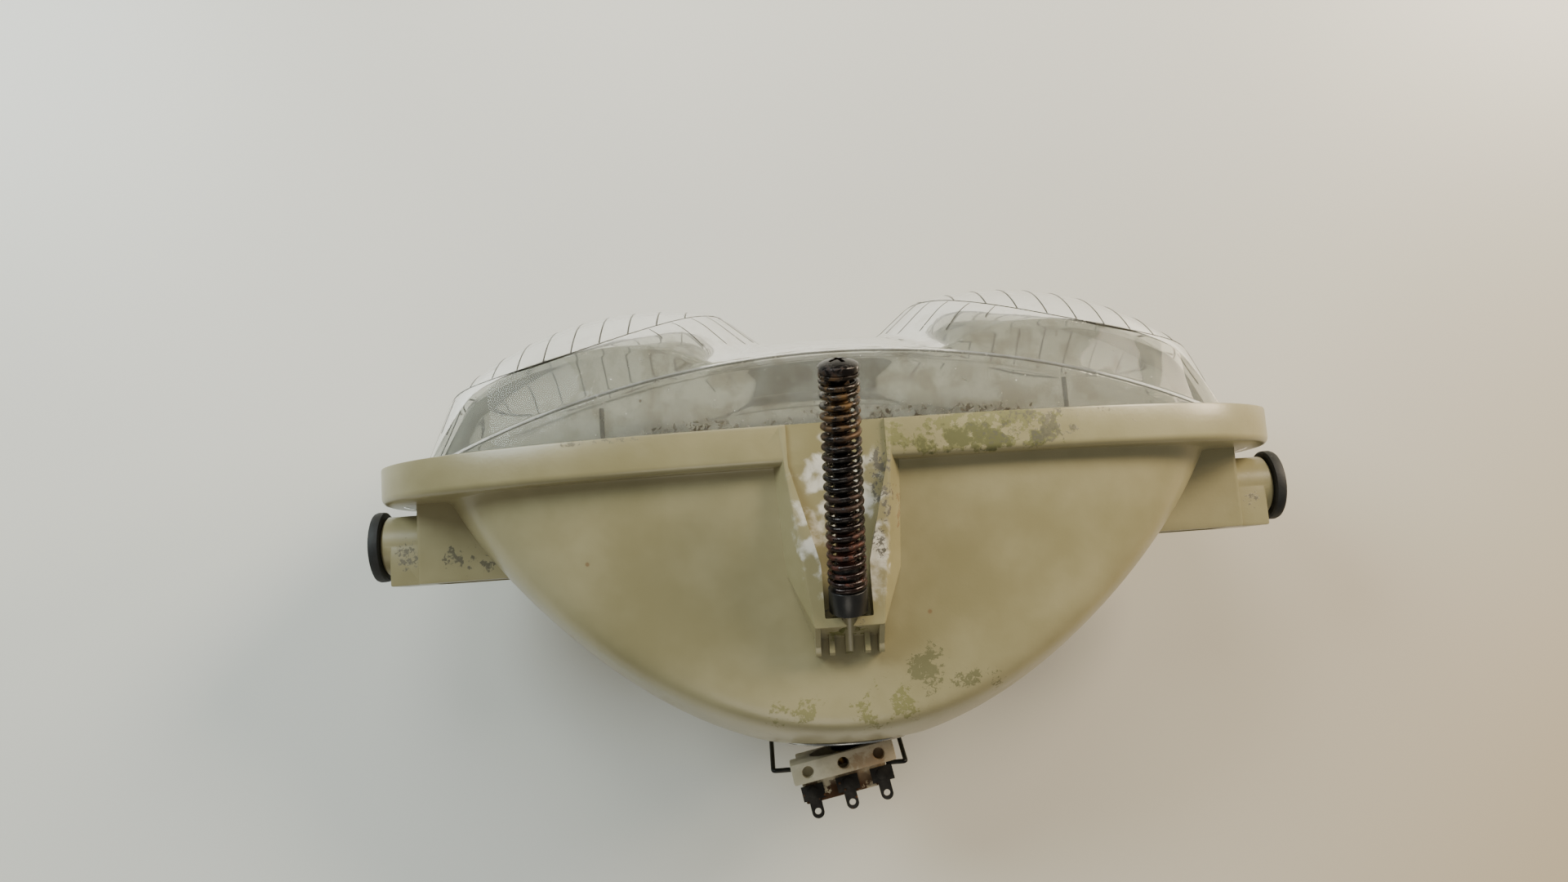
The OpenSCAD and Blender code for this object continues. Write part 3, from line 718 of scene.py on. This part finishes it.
def buildWing(side):
    w = wingDials
    name = "wing" + ("Left" if side > 0 else "Right")

    def block(label, low, high, rounding):
        xs = sorted((side * low[0], side * high[0]))
        return blockOf(name + label, (xs[0], *low[1:]), (xs[1], *high[1:]), rounding)

    wing = block("", (w["from"], ledge, -w["halfH"]), (w["endX"], w["back"], w["halfH"]), w["rounding"])
    inner = w["halfH"] - w["wall"]
    wing = combine(wing, "DIFFERENCE", block("Hollow", (w["from"] - 1, rimBack + 0.2, -inner),
                                            (w["endX"] - w["wall"] - 1, w["back"] + 3, inner), 0.5))
    pad = block("Pad", (w["bossFrom"] + 4.5, 0, -w["bossR"]), (w["padX"], w["back"], w["bossR"]), 0.6)
    boss = turned(name + "Boss", [(w["bossR"] - 0.5, w["bossFrom"]), (w["bossR"], w["bossFrom"] + 0.5),
                                  (w["bossR"], w["bossX"] - 0.6), (w["bossR"] - 0.6, w["bossX"])],
                  (0, 0, 0), (side, 0, 0), around=64)
    wing = combine(wing, "UNION", pad, boss)
    bore = turned(name + "Bore", [(w["bushR"], w["bossFrom"] - 5), (w["bushR"], w["bossX"] + 3)],
                  (0, 0, 0), (side, 0, 0), around=64)
    return combine(wing, "DIFFERENCE", bore)


podDials = {
    "top": housingHigh.z - 0.02, "root": 14, "mouth": 14.3, "base": 18.5, "end": 8.5,
    "endY": 29.5, "toeY": 33.5, "kneeY": 6, "shinY": 27, "wall": 2.1,
    "floorDrop": 0.9, "pocketFloor": 43.0, "pocketHalf": 5.9, "pocketY": (14, 27.3),
    "ribs": (-7.8, -4.4, 0, 4.4, 7.8), "ribT": 1.3, "midRibT": 1.9,
    "springR": 5.4, "nutR": 4.85, "screwR": 2.65,
}


def buildPod():
    p = podDials
    top, root = p["top"], p["top"] - p["root"]
    points = [(s * x, y, z) for s in (-1, 1) for x, y, z in [
        (p["mouth"], shell["rimFront"] + 0.4, top), (p["end"], p["endY"], top),
        (p["base"], rimBack - 1, root), (p["base"], p["kneeY"], root),
        (p["end"], p["shinY"], root), (p["end"], p["toeY"], root)]]
    pod = hullOf("pod", points, 0.45)
    ribs = []
    for x in p["ribs"]:
        half = (p["midRibT"] if x == 0 else p["ribT"]) / 2
        side = [(27, 37.6), (36.1, 37.6), (36.5, 38.2), (36.5, 41.8), (35.8, 42.5), (34.3, 42.9),
                (30.3, 47.4), (29.4, 48.2), (27, 48.2)]
        if x not in (0, min(p["ribs"]), max(p["ribs"])):
            side = side[:5] + [(27, 42.5)]
        rings = [[Vector((x + s, y, z)) for y, z in side] for s in (-half, half)]
        ribs.append(loft("rib", rings))
    return combine(pod, "UNION", *ribs)


def podCuts():
    p = podDials
    mouth, throat = p["mouth"] - p["wall"], p["pocketHalf"]
    lid = p["top"] + 14
    stations = [(shell["rimFront"] - 2, mouth, p["top"] - p["floorDrop"]),
                (rimBack - 0.3, mouth, p["top"] - p["floorDrop"]),
                (rimBack + 0.6, mouth - 0.1, p["top"] - p["floorDrop"] - 0.15),
                (p["pocketY"][0], throat + 0.1, 42.4), (p["pocketY"][0] + 3, throat, 42.4)]
    rings = [[Vector((-h, y, z)), Vector((h, y, z)), Vector((h, y, lid)), Vector((-h, y, lid))]
             for y, h, z in stations]
    floor = loft("podFloor", rings)
    pocket = blockOf("podPocket", (-throat, p["pocketY"][0], p["pocketFloor"]),
                     (throat, p["pocketY"][1], lid), 0.5)
    top, out = screwTop / mm, screwAxis
    spring = turned("springRoom", [(p["springR"], 0), (p["springR"], 57)], top, out)
    nut = turned("nutRoom", [(p["nutR"], 55), (p["nutR"], 63)], top, out)
    bore = turned("screwRoom", [(p["screwR"], 60), (p["screwR"], 76)], top, out, around=24)
    return [floor, pocket, spring, nut, bore]


lugDials = {"half": (9, 2.2), "fromY": 56, "toY": 66, "bore": 0.72}
bailPivot = Vector(joints["bail_swing"]["pos_m"]) / mm


def buildHousing():
    housing = buildShell()
    core = loft("bowlCore", [[bowlInside(a, y, shell["wall"] * 0.6) for a in angles]
                             for y in bowlStations(shell["rimFront"] - 2, shell["neck"] - 2)])
    channel = loft("channelCore", [[rimPoint(a, shell["wall"] * 0.7, y) for a in angles]
                                   for y in (shell["rimFront"] - 3, ledge + 0.6)])
    extra = buildPod()
    lug = blockOf("bailLug", (-lugDials["half"][0], lugDials["fromY"], bailPivot.z - lugDials["half"][1]),
                  (lugDials["half"][0], lugDials["toY"], bailPivot.z + lugDials["half"][1]), 0.5)
    extra = combine(extra, "UNION", buildWing(1), buildWing(-1), lug)
    extra = combine(extra, "DIFFERENCE", core, channel)
    housing = combine(housing, "UNION", extra)
    seat = turned("flangeRoom", [(17.1, shell["neck"]), (17.1, shell["neck"] + 9)],
                  (0, 0, 0), (0, 1, 0), around=96)
    pin = turned("bailBore", [(lugDials["bore"], -20), (lugDials["bore"], 20)],
                 (0, bailPivot.y, bailPivot.z), (1, 0, 0), around=24)
    housing = combine(housing, "DIFFERENCE", seat, pin, *podCuts())
    housing.name = "housing_moulding"
    bake(housing, "housing", 32)
    return place(housing, "lamp", "housing", "housing")


def buildReflector():
    deep, skin = shell["wall"] + 0.12, 0.6
    stations = bowlStations(ledge + 1.2, shell["neck"] - 0.25)
    rings = [[bowlInside(a, y, deep) for a in angles] for y in stations]
    rings += [[bowlInside(a, y, deep + skin) for a in angles] for y in reversed(stations)]
    return place(loft("reflector", rings, "mirror_skin", "joined"), "lamp", "mirror_skin", "reflector_skin")


buildHousing()
print("housing built")
buildReflector()
print("reflector built")


# --- lens: depth ahead of the rim's front, as the deeper of the plate and the two eyes

lensDials = {
    "halfW": lensHigh.x, "halfH": lensHigh.z, "foot": lensHigh.y, "wall": 2.6,
    "shoulder": 2.4, "plateFront": shell["rimFront"] - 28.5, "plateR": 220, "crownR": 105,
    "eyeX": 61.5, "eyeY": shell["rimFront"] - 14, "sweep": 14, "baseR": 50, "faceR": 39.5, "height": 14.6,
    "domeR": 85, "riseR": 60,
    "soften": 0.9,          # rounding where the eyes' edges and feet run, mm
    "around": 432, "rings": 84,
}


def barrelY(x, z, centreY, roundR, crownR, inward):
    stave = (crownR - inward) ** 2 - z * z
    girth = roundR - crownR + math.sqrt(max(stave, 0.01))
    return centreY - math.sqrt(max(girth * girth - x * x, 0.01))


def smoothPick(a, b, soft):
    gap = max(soft - abs(a - b), 0) / soft
    return max(a, b) + gap * gap * soft * 0.25


def plateDepth(x, z, inward):
    d = lensDials
    return -barrelY(x, z, d["plateFront"] + d["plateR"], d["plateR"], d["crownR"], inward)


def eyeDepth(x, z, side, inward):
    d = lensDials
    sweep = math.radians(d["sweep"])
    lookX, lookY = math.sin(sweep), -math.cos(sweep)
    x = x * side - d["eyeX"]
    slope = (d["baseR"] - d["faceR"]) / d["height"]
    behind = math.sqrt(d["domeR"] ** 2 - d["faceR"] ** 2) - d["height"]
    domeX, domeY = -lookX * behind, d["eyeY"] - lookY * behind
    low, high = -80.0, -5.0
    dome = barrelY(x - domeX, z, domeY, d["domeR"], d["riseR"], inward)
    for _ in range(22):
        y = (low + high) / 2
        out = x * lookX + (y - d["eyeY"]) * lookY
        across = x * -lookY + (y - d["eyeY"]) * lookX
        reach = d["baseR"] - inward - slope * out
        if reach > 0 and across * across + z * z < reach * reach:
            high = y
        else:
            low = y
    return -smoothPick(high, dome, d["soften"] * 2)


def lensDepth(x, z, inward):
    soft = lensDials["soften"] * 2
    return smoothPick(plateDepth(x, z, inward), eyeDepth(x, z, 1 if x >= 0 else -1, inward), soft)


def lensRim(angle, inset):
    return outlineRadius(angle, lensDials["halfW"] - inset, lensDials["halfH"] - inset)


def lensSurface(turnsAround, ringCount, inward):
    d = lensDials
    rings = []
    stepIn = d["shoulder"] + inward
    for k in range(1, ringCount + 1):
        share = k / ringCount
        rings.append([atRadius(a, lensRim(a, stepIn) * share, 0) for a in turnsAround])
    for ring in rings:
        for p in ring:
            p.y = -lensDepth(p.x, p.z, inward)
    edge = rings[-1]
    foot = [-plateDepth(p.x, p.z, inward) for p in edge]
    for share, sink in ((0.1, 0.12), (0.25, 0.42), (0.35, 0.9)):
        rings.append([atRadius(a, lensRim(a, stepIn - share), min(p.y + sink, max(f, p.y)))
                      for a, p, f in zip(turnsAround, edge, foot)])
    for share, lift in ((0.4, 0.5), (0.55, 0.15), (0.85, 0.0), (1.3, 0.0)):
        ring = []
        for a, p, f in zip(turnsAround, edge, foot):
            q = atRadius(a, lensRim(a, stepIn - share), 0)
            q.y = max(-plateDepth(q.x, q.z, inward) - lift, p.y) if f > p.y else -plateDepth(q.x, q.z, inward)
            ring.append(q)
        rings.append(ring)
    for inset, sink in ((1.0, 0), (0.5, 0.12), (0.18, 0.45), (0.0, 1.0)):
        ring = []
        for a in turnsAround:
            q = atRadius(a, lensRim(a, inset + inward), 0)
            q.y = -plateDepth(q.x, q.z, inward) + sink
            ring.append(q)
        rings.append(ring)
    return rings


def buildLens():
    d = lensDials
    turnsAround = outlineAngles(d["around"], d["halfW"], d["halfH"])
    rings = lensSurface(turnsAround, d["rings"], 0)
    rings.append([atRadius(a, lensRim(a, 0), d["foot"] - 0.3) for a in turnsAround])
    rings.append([atRadius(a, lensRim(a, 0.3), d["foot"]) for a in turnsAround])
    lip = d["wall"] + 2.2
    rings.append([atRadius(a, lensRim(a, lip), d["foot"]) for a in turnsAround])
    rings.append([atRadius(a, lensRim(a, lip), d["foot"] - 3) for a in turnsAround])
    inside = lensSurface(turnsAround, d["rings"] // 2, d["wall"])
    rings.append([atRadius(a, lensRim(a, d["wall"]), d["foot"] - 3) for a in turnsAround])
    rings += reversed(inside)
    lens = loft("lens_moulding", rings, "clear_lens", "capped", 40)
    for point in lens.data.vertices:
        point.co.y = max(point.co.y, lensLow.y * mm)
    return place(lens, "lamp", "clear_lens", "lens")


ribDials = {
    "pitch": 7.2, "faceR": 38.6,                     # the flutes over an eye's face
    "wallStep": 10,                                  # degrees between the ribs down its side
    "thick": 0.26, "sink": 0.12,                     # a rib's radius, and how deep its middle lies
    "edge": 0.28, "edgeR": 39.0, "edgeSink": 0.15,   # the bright line round an eye's face
    "rimInset": 0.95, "rimSink": 0.3,                # and the one along the lens's foot
    "skirtX": (58, -60), "skirtR": 0.6,              # two moulded pegs in the skirt
}


def buildLensRibs():
    d = ribDials
    centre = lensDials["eyeX"] + math.sin(math.radians(lensDials["sweep"])) * lensDials["height"]

    def onGlass(x, z, inset=d["sink"]):
        return Vector((x, -lensDepth(x, z, inset), z))

    def standsProud(x, z, eye):
        inside = math.hypot(x, z) < lensRim(math.atan2(z, x), 5.4)
        return inside and eyeDepth(x, z, eye, d["sink"]) > plateDepth(x, z, d["sink"]) + 0.3

    strips = []
    for eye in (1, -1):
        for k in range(-5, 6):
            across = k * d["pitch"]
            half = math.sqrt(max(d["faceR"] ** 2 - across ** 2, 0))
            path = [onGlass(eye * (centre + across), half * (j / 14 - 1)) for j in range(29)]
            strips.append((path, d["thick"], 8))
        for degrees in range(0, 360, d["wallStep"]):
            t = math.radians(degrees)
            path = []
            for j in range(9):
                reach = blendTo(39.8, 48.5, j / 8)
                x, z = eye * (centre - 0.3 * j + reach * math.cos(t)), reach * math.sin(t)
                if standsProud(x, z, eye):
                    path.append(onGlass(x, z))
            if len(path) > 2:
                strips.append((path, d["thick"] * 0.75, 8))
    halfWay = len(angles) // 2
    for first in (0, halfWay):
        path = [atRadius(t, lensRim(t, d["rimInset"]), 0) for t in angles[first:][:halfWay + 1]]
        for p in path:
            p.y = -plateDepth(p.x, p.z, d["rimSink"])
        strips.append((path, d["edge"], 8))
    for eye in (1, -1):
        bends = [math.radians(degrees) for degrees in range(0, 361, 5)]
        path = [onGlass(eye * (centre + d["edgeR"] * math.cos(t)), d["edgeR"] * math.sin(t), d["edgeSink"])
                for t in bends]
        strips.append((path, d["edge"], 8))
    for x in d["skirtX"]:
        lean = math.atan2(lensDials["halfH"], x)
        z = lensRim(lean, 0) * math.sin(lean) - 3.0
        strips.append(([Vector((x, y, z)) for y in (-18, -22, -26, -29)], d["skirtR"], 10))
    work = bmesh.new()
    for path, radius, sides in strips:
        strip = tube("rib", path, radius, None, sides)
        work.from_mesh(strip.data)
        bpy.data.objects.remove(strip)
    for point in work.verts:
        point.co.y = max(point.co.y, lensLow.y * mm)
    # their darker tint is painted shade for the dark refraction lines along the ribs
    ribs = fromBmesh("lens_ribs", work, "rib_glass")
    return place(ribs, "lamp", "clear_lens")


def tube(name, path, radius, finish, sides=16):
    rings, up = [], None
    for k, point in enumerate(path):
        ahead = (path[min(k + 1, len(path) - 1)] - path[max(k - 1, 0)]).normalized()
        up = (up - ahead * up.dot(ahead)).normalized() if up else ahead.orthogonal().normalized()
        over = ahead.cross(up)
        rings.append([point + (up * math.cos(t) + over * math.sin(t)) * radius
                      for t in [2 * math.pi * j / sides for j in range(sides)]])
    return loft(name, rings, finish)


buildLens()
buildLensRibs()
print("lens built")


# --- geometry nodes: a coil, and crumbs along a closed line

def geometryGroup(name, inputs):
    tree = bpy.data.node_groups.new(name, "GeometryNodeTree")
    tree.interface.new_socket("Geometry", in_out="INPUT", socket_type="NodeSocketGeometry")
    for label, kind in inputs:
        tree.interface.new_socket(label, in_out="INPUT", socket_type=kind)
    tree.interface.new_socket("Geometry", in_out="OUTPUT", socket_type="NodeSocketGeometry")
    return tree, tree.nodes.new("NodeGroupInput"), tree.nodes.new("NodeGroupOutput")


def mapped(tree, value, low, high, toLow, toHigh):
    node = tree.nodes.new("ShaderNodeMapRange")
    return feed(tree, node, {"Value": value, "From Min": low, "From Max": high, "To Min": toLow,
                             "To Max": toHigh}).outputs["Result"]


def grow(tree, kind, values):
    return feed(tree, tree.nodes.new("GeometryNode" + kind), values)


def buildCoilGroup():
    tree, source, sink = geometryGroup("coil", [
        ("Mean Radius", "NodeSocketFloat"), ("Wire Radius", "NodeSocketFloat"), ("Turns", "NodeSocketFloat"),
        ("Length", "NodeSocketFloat"), ("Dead Share", "NodeSocketFloat"), ("Dead Rise", "NodeSocketFloat"),
        ("Steps", "NodeSocketInt"), ("Material", "NodeSocketMaterial")])
    given = source.outputs
    line = grow(tree, "CurvePrimitiveLine", {})
    cut = grow(tree, "ResampleCurve", {"Curve": line.outputs["Curve"], "Count": given["Steps"]})
    along = tree.nodes.new("GeometryNodeSplineParameter").outputs["Factor"]
    angle = times(tree, times(tree, along, given["Turns"]), 2 * math.pi)
    late = mathNode(tree, "SUBTRACT", 1.0, given["Dead Share"])
    middle = mathNode(tree, "SUBTRACT", given["Length"], times(tree, given["Dead Rise"], 2.0))
    height = mapped(tree, along, 0.0, given["Dead Share"], 0.0, given["Dead Rise"])
    height = mathNode(tree, "ADD", height, mapped(tree, along, given["Dead Share"], late, 0.0, middle))
    height = mathNode(tree, "ADD", height, mapped(tree, along, late, 1.0, 0.0, given["Dead Rise"]))
    across = [times(tree, mathNode(tree, wave, angle), given["Mean Radius"]) for wave in ("COSINE", "SINE")]
    spot = feed(tree, tree.nodes.new("ShaderNodeCombineXYZ"), {"X": across[0], "Y": across[1], "Z": height})
    helix = grow(tree, "SetPosition", {"Geometry": cut.outputs["Curve"], "Position": spot.outputs[0]})
    ring = grow(tree, "CurvePrimitiveCircle", {"Resolution": 12, "Radius": given["Wire Radius"]})
    wire = grow(tree, "CurveToMesh", {"Curve": helix.outputs[0], "Profile Curve": ring.outputs["Curve"],
                                      "Fill Caps": True})
    real = grow(tree, "RealizeInstances", {0: wire.outputs["Mesh"]})
    painted = grow(tree, "SetMaterial", {"Geometry": real.outputs[0], "Material": given["Material"]})
    tree.links.new(painted.outputs[0], sink.inputs[0])
    return tree


def buildCrumbGroup():
    tree, source, sink = geometryGroup("crumbs", [
        ("Spacing", "NodeSocketFloat"), ("Size", "NodeSocketFloat"), ("Seed", "NodeSocketInt"),
        ("Material", "NodeSocketMaterial")])
    given = source.outputs
    line = grow(tree, "MeshToCurve", {"Mesh": given["Geometry"]})
    spread = tree.nodes.new("GeometryNodeCurveToPoints")
    spread.mode = "LENGTH"
    feed(tree, spread, {"Curve": line.outputs[0], "Length": given["Spacing"]})
    chance = tree.nodes.new("FunctionNodeRandomValue")
    chance.data_type = "FLOAT_VECTOR"
    slots = [socket for socket in chance.inputs if socket.enabled]
    slots[0].default_value = (0.4, 0.35, 0.4)             # the smallest and largest crumb, as shares of Size
    slots[1].default_value = (1.0, 0.8, 1.0)
    tree.links.new(mathNode(tree, "ADD", given["Seed"], 1.0), chance.inputs["Seed"])
    crumb = grow(tree, "MeshIcoSphere", {"Subdivisions": 2, "Radius": given["Size"]})
    shares = [socket for socket in chance.outputs if socket.enabled][0]
    placed = grow(tree, "InstanceOnPoints", {"Points": spread.outputs["Points"],
                                             "Instance": crumb.outputs["Mesh"], "Scale": shares})
    real = grow(tree, "RealizeInstances", {0: placed.outputs[0]})
    painted = grow(tree, "SetMaterial", {"Geometry": real.outputs[0], "Material": given["Material"]})
    tree.links.new(painted.outputs[0], sink.inputs[0])
    return tree


nodeGroups = {"coil": buildCoilGroup(), "crumbs": buildCrumbGroup()}


def grown(name, kind, mesh, **values):
    piece = bpy.data.objects.new(name, mesh)
    bpy.context.scene.collection.objects.link(piece)
    modifier = piece.modifiers.new("grow", "NODES")
    modifier.node_group = nodeGroups[kind]
    for item in nodeGroups[kind].interface.items_tree:
        label = item.name.replace(" ", "_")
        if item.in_out == "INPUT" and label in values:
            modifier[item.identifier] = values[label]
    return bake(piece, angle=40)


def coilPiece(name, finish, turn, start, meanR, wireR, turnsCount, length, perTurn=24, deadTurns=0.0):
    dead = 2.05 * wireR * deadTurns
    piece = grown(name, "coil", bpy.data.meshes.new(name), Mean_Radius=meanR * mm, Wire_Radius=wireR * mm,
                  Turns=float(turnsCount), Length=(length - 2 * wireR) * mm,
                  Dead_Share=max(deadTurns / turnsCount, 0.0001), Dead_Rise=dead * mm,
                  Steps=int(turnsCount * perTurn) + 1, Material=finishes[finish])
    piece.data.transform(Matrix.Translation(start) @ turn)
    return piece


# --- adjuster

adjusterDials = {
    "springFrom": 4.0, "springTo": 56.8, "springR": 4.82, "wireR": 0.72, "turns": 22,
    "threadR": 2.5, "threadWireR": 0.35, "threadFrom": 5.0, "pitch": 0.8, "tip": 59.3, "head": 4.7,
}


def buildAdjuster():
    d = adjusterDials
    turn = axisFrame((0, 0, 0), screwAxis)[0]
    length = d["springTo"] - d["springFrom"]
    start = screwTop + screwAxis * (d["springFrom"] + d["wireR"]) * mm
    spring = coilPiece("spring", "rusty_steel", turn, start, d["springR"] - d["wireR"], d["wireR"],
                       d["turns"], length, 28, 1.5)
    place(spring, "lamp", "rusty_steel", "adjuster_spring")
    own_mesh(spring)
    head, core = d["head"], d["threadR"] - d["threadWireR"]
    profile = [(0.05, 0), (1.5, 0.13), (3, 0.52), (4, 0.94), (4.5, 1.25), (head, 1.6), (head, 2.9),
               (head - 0.25, 3.2), (core, 3.2), (core, d["tip"] - 0.9), (d["threadR"] - 1.0, d["tip"])]
    screw = turned("screw", profile, screwTop / mm, screwAxis, "rusty_steel")
    arms = []
    for spin in (20, 110):
        move = Matrix.Translation(screwTop) @ turn @ Matrix.Rotation(math.radians(spin), 4, "Z")
        arms.append(blockOf("recess", (-2.3, -0.5, -1), (2.3, 0.5, 1.6), 0.12, turn=move))
    combine(screw, "DIFFERENCE", *arms)
    bake(screw, "rusty_steel")
    place(screw, "adjuster_screw_body", "rusty_steel", "adjuster_screw")
    threadLength = d["tip"] - 1 - d["threadFrom"]
    start = screwTop + screwAxis * (d["threadFrom"] + 0.36) * mm
    thread = coilPiece("screw_thread", "rusty_steel", turn, start, d["threadR"] - 0.36, d["threadWireR"],
                       threadLength / d["pitch"], threadLength, 14)
    place(thread, "adjuster_screw_body", "rusty_steel")


buildAdjuster()
print("adjuster built")


# --- pivot bushes

def buildBush(side):
    x = wingDials["bossX"]
    profile = [(4.12, x - 13.5), (6.15, x - 13.5), (6.15, x + 0.12), (9.2, x + 0.12), (9.7, x + 0.5),
               (9.8, x + 1.2), (9.8, x + 2.4), (9.55, x + 3.0), (8.9, x + 3.28), (5.2, x + 3.28),
               (4.12, x + 3.1)]
    hand = "left" if side > 0 else "right"
    bush = turned("rubber_bush_" + hand, profile, (0, 0, 0), (side, 0, 0), "rubber", around=96, bore=True)
    place(bush, f"bush_{hand}_body", "rubber", "bush_" + hand)


for side in (1, -1):
    buildBush(side)
print("bushes built")


# --- bulb holder, its bail, and small parts

holderDials = {
    "yaw": 10.5, "x": bailPivot.x, "w": 28.4, "top": 10, "bottom": -9.5, "block": 5.6, "depth": 12.5,
    "ledgeW": 24.6, "ledgeTop": 1.5, "socketR": 8.4, "socketDeep": 4.6, "pitch": 9.8, "legX": 18.5,
    "wireR": 0.65,
}
swing = holderDials["w"] / 2 * math.sin(math.radians(holderDials["yaw"]))      # a corner's move from the yaw
holderDials["y"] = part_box("bulb_shell")[1].y / mm + 0.1 + swing
holderDials["hookY"] = holderDials["y"] + 5.2


def buildHolder():
    h = holderDials
    turn = Matrix.Rotation(math.radians(h["yaw"]), 4, "Z")
    turn.translation = Vector((h["x"], h["y"], 0)) * mm
    block = blockOf("holder", (-h["w"] / 2, 0, h["ledgeTop"] - 3), (h["w"] / 2, h["block"], h["top"]), 0.55)
    ledgeBlock = blockOf("ledge", (-h["ledgeW"] / 2, 0, h["bottom"]),
                         (h["ledgeW"] / 2, h["depth"], h["ledgeTop"]), 0.4)
    cuts = [turned("socket", [(h["socketR"], -1), (h["socketR"], h["socketDeep"])], (0, 0, 0), (0, 1, 0))]
    for k in (-1, 0, 1):
        x = k * h["pitch"]
        cuts.append(turned("hole", [(1.5, -3), (1.5, -0.3), (1.9, 0.4)], (x, h["block"] / 2, h["top"]),
                           (0, 0, 1), around=24))
        cuts.append(turned("rivetHole", [(1.05, -1.3), (1.05, 1)], (x, 9.5, h["ledgeTop"]),
                           (0, 0, 1), around=24))
    for pinSide in (-1, 1):
        x = (pinSide * 2.4 - h["x"]) / math.cos(math.radians(h["yaw"]))
        cuts.append(turned("pinHole", [(1.25, -1), (1.25, 11)], (x, 0, -1.5), (0, 1, 0), around=24))
    combine(block, "UNION", ledgeBlock)
    combine(block, "DIFFERENCE", *cuts)
    block.data.transform(turn)
    notches = []
    for hookSide in (-1, 1):
        near, far = sorted((h["x"] + hookSide * (h["ledgeW"] / 2 + 0.2), h["x"] + hookSide * 40))
        back = h["hookY"] - h["wireR"] - 0.3
        notches.append(blockOf("notch", (near, back, -29.5), (far, back + 20, 5.5), 0))
    combine(block, "DIFFERENCE", *notches)
    block.name = "holder"
    bake(block, "ceramic", 32)
    place(block, "lamp", "ceramic", "holder_body")


def bentPath(corners, bend, steps=7):
    path = [corners[0]]
    for before, corner, after in zip(corners, corners[1:], corners[2:]):
        a = corner + (before - corner).normalized() * bend
        b = corner + (after - corner).normalized() * bend
        path += [(a * (1 - t) + corner * t) * (1 - t) + (corner * (1 - t) + b * t) * t
                 for t in [k / steps for k in range(steps + 1)]]
    return path + [corners[-1]]


def buildBail():
    h = holderDials
    half = [(h["ledgeW"] / 2 + 0.65, h["hookY"], -1), (h["legX"], h["hookY"], -1),
            (h["legX"], bailPivot.y, bailPivot.z)]
    corners = [Vector((h["x"] - x, y, z)) for x, y, z in half]
    corners += [Vector((h["x"] + x, y, z)) for x, y, z in reversed(half)]
    wire = tube("bail_wire", bentPath(corners, 0.9), h["wireR"], "bail_wire")
    place(wire, "bail", "bail_wire", "bail_clip")


def buildContactSpring(side, name):
    d = {"apart": 2.4, "z": -1.5, "from": 8.1, "to": 10.9, "meanR": 0.99, "wireR": 0.16, "turns": 6}
    h = holderDials
    yaw = math.radians(h["yaw"])
    into = Vector(joints[name + "_pin_press"]["axis"]).normalized()
    across = (side * d["apart"] - h["x"]) / math.cos(yaw)
    foot = Vector((h["x"] + across * math.cos(yaw), h["y"] + across * math.sin(yaw), d["z"])) * mm
    length = d["to"] - d["from"]
    spring = coilPiece("contact_spring_" + name + "_wire", "plated_steel", axisFrame((0, 0, 0), into)[0],
                       foot + into * (d["from"] + d["wireR"]) * mm, d["meanR"], d["wireR"], d["turns"],
                       length, 20, 1)
    place(spring, "lamp", "plated_steel", "contact_spring_" + name)
    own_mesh(spring)


buildHolder()
buildBail()
buildContactSpring(1, "main")
buildContactSpring(-1, "dip")
print("holder and bail built")


# --- sealant squeezed out along the lens joint

sealantDials = {
    # name: inset from the rim's edge, y, crumb radius and spacing in mm, seed
    "sealant_bead": (2.575, shell["rimFront"] + 0.6, 0.62, 0.9, 7),
    "sealant_crumbs": (2.875, shell["rimFront"] - 0.1, 0.4, 2.3, 11),
}


def buildSealant():
    for name, (inset, y, size, spacing, seed) in sealantDials.items():
        mesh = bpy.data.meshes.new(name)
        points = [rimPoint(a, inset, y) * mm for a in angles]
        mesh.from_pydata(points, [(k, (k + 1) % len(points)) for k in range(len(points))], [])
        bead = grown(name, "crumbs", mesh, Spacing=spacing * mm, Size=size * mm, Seed=seed,
                     Material=finishes["sealant"])
        place(bead, "lamp", "sealant")


buildSealant()
print("sealant built")


# --- what is still shown of the cad nodes

nodeFinishes = {
    "lens_seal": "sealant", "pivot_sleeve_left": "plated_steel", "pivot_sleeve_right": "plated_steel",
    "adjuster_washer": "rusty_steel", "adjuster_nut": "black_plastic", "bulb_shell": "bulb_base",
    "bulb_insulator": "black_plastic", "bulb_contacts": "brass", "bulb_glass": "bulb_glass",
    "filament_main": "plated_steel", "filament_dip": "plated_steel", "filament_shield": "plated_steel",
    "filament_supports": "plated_steel", "bulb_seal": "rubber", "terminal_left": "dark_spade",
    "terminal_middle": "dark_spade", "terminal_right": "dark_spade", "contact_pin_main": "brass",
    "contact_pin_dip": "brass",
}


def dressNode(name, finish):
    node = frame["nodes"][name]
    node.data.materials.clear()
    node.data.materials.append(finishes[finish])
    weld = node.modifiers.new("weld", "WELD")
    weld.merge_threshold = 0.000002
    if name.startswith(("terminal", "adjuster", "pivot")):
        bevel = node.modifiers.new("bevel", "BEVEL")
        bevel.width = 0.00015
        bevel.segments = 2
        bevel.limit_method = "ANGLE"
        bevel.angle_limit = math.radians(35)
    for face in node.data.polygons:
        face.use_smooth = True
    node.data.set_sharp_from_angle(angle=math.radians(32))


for name, finish in nodeFinishes.items():
    dressNode(name, finish)
print("nodes dressed:", len(nodeFinishes))


reach, level = 1600, cadLow.z / mm - 0.05
floor = makePiece("floor", [(-reach, -reach, level), (reach, -reach, level), (reach, reach, level),
                            (-reach, reach, level)], [(0, 1, 2, 3)])
floor.data.materials.append(floorMaterial())
makeCamera()
makeLights()
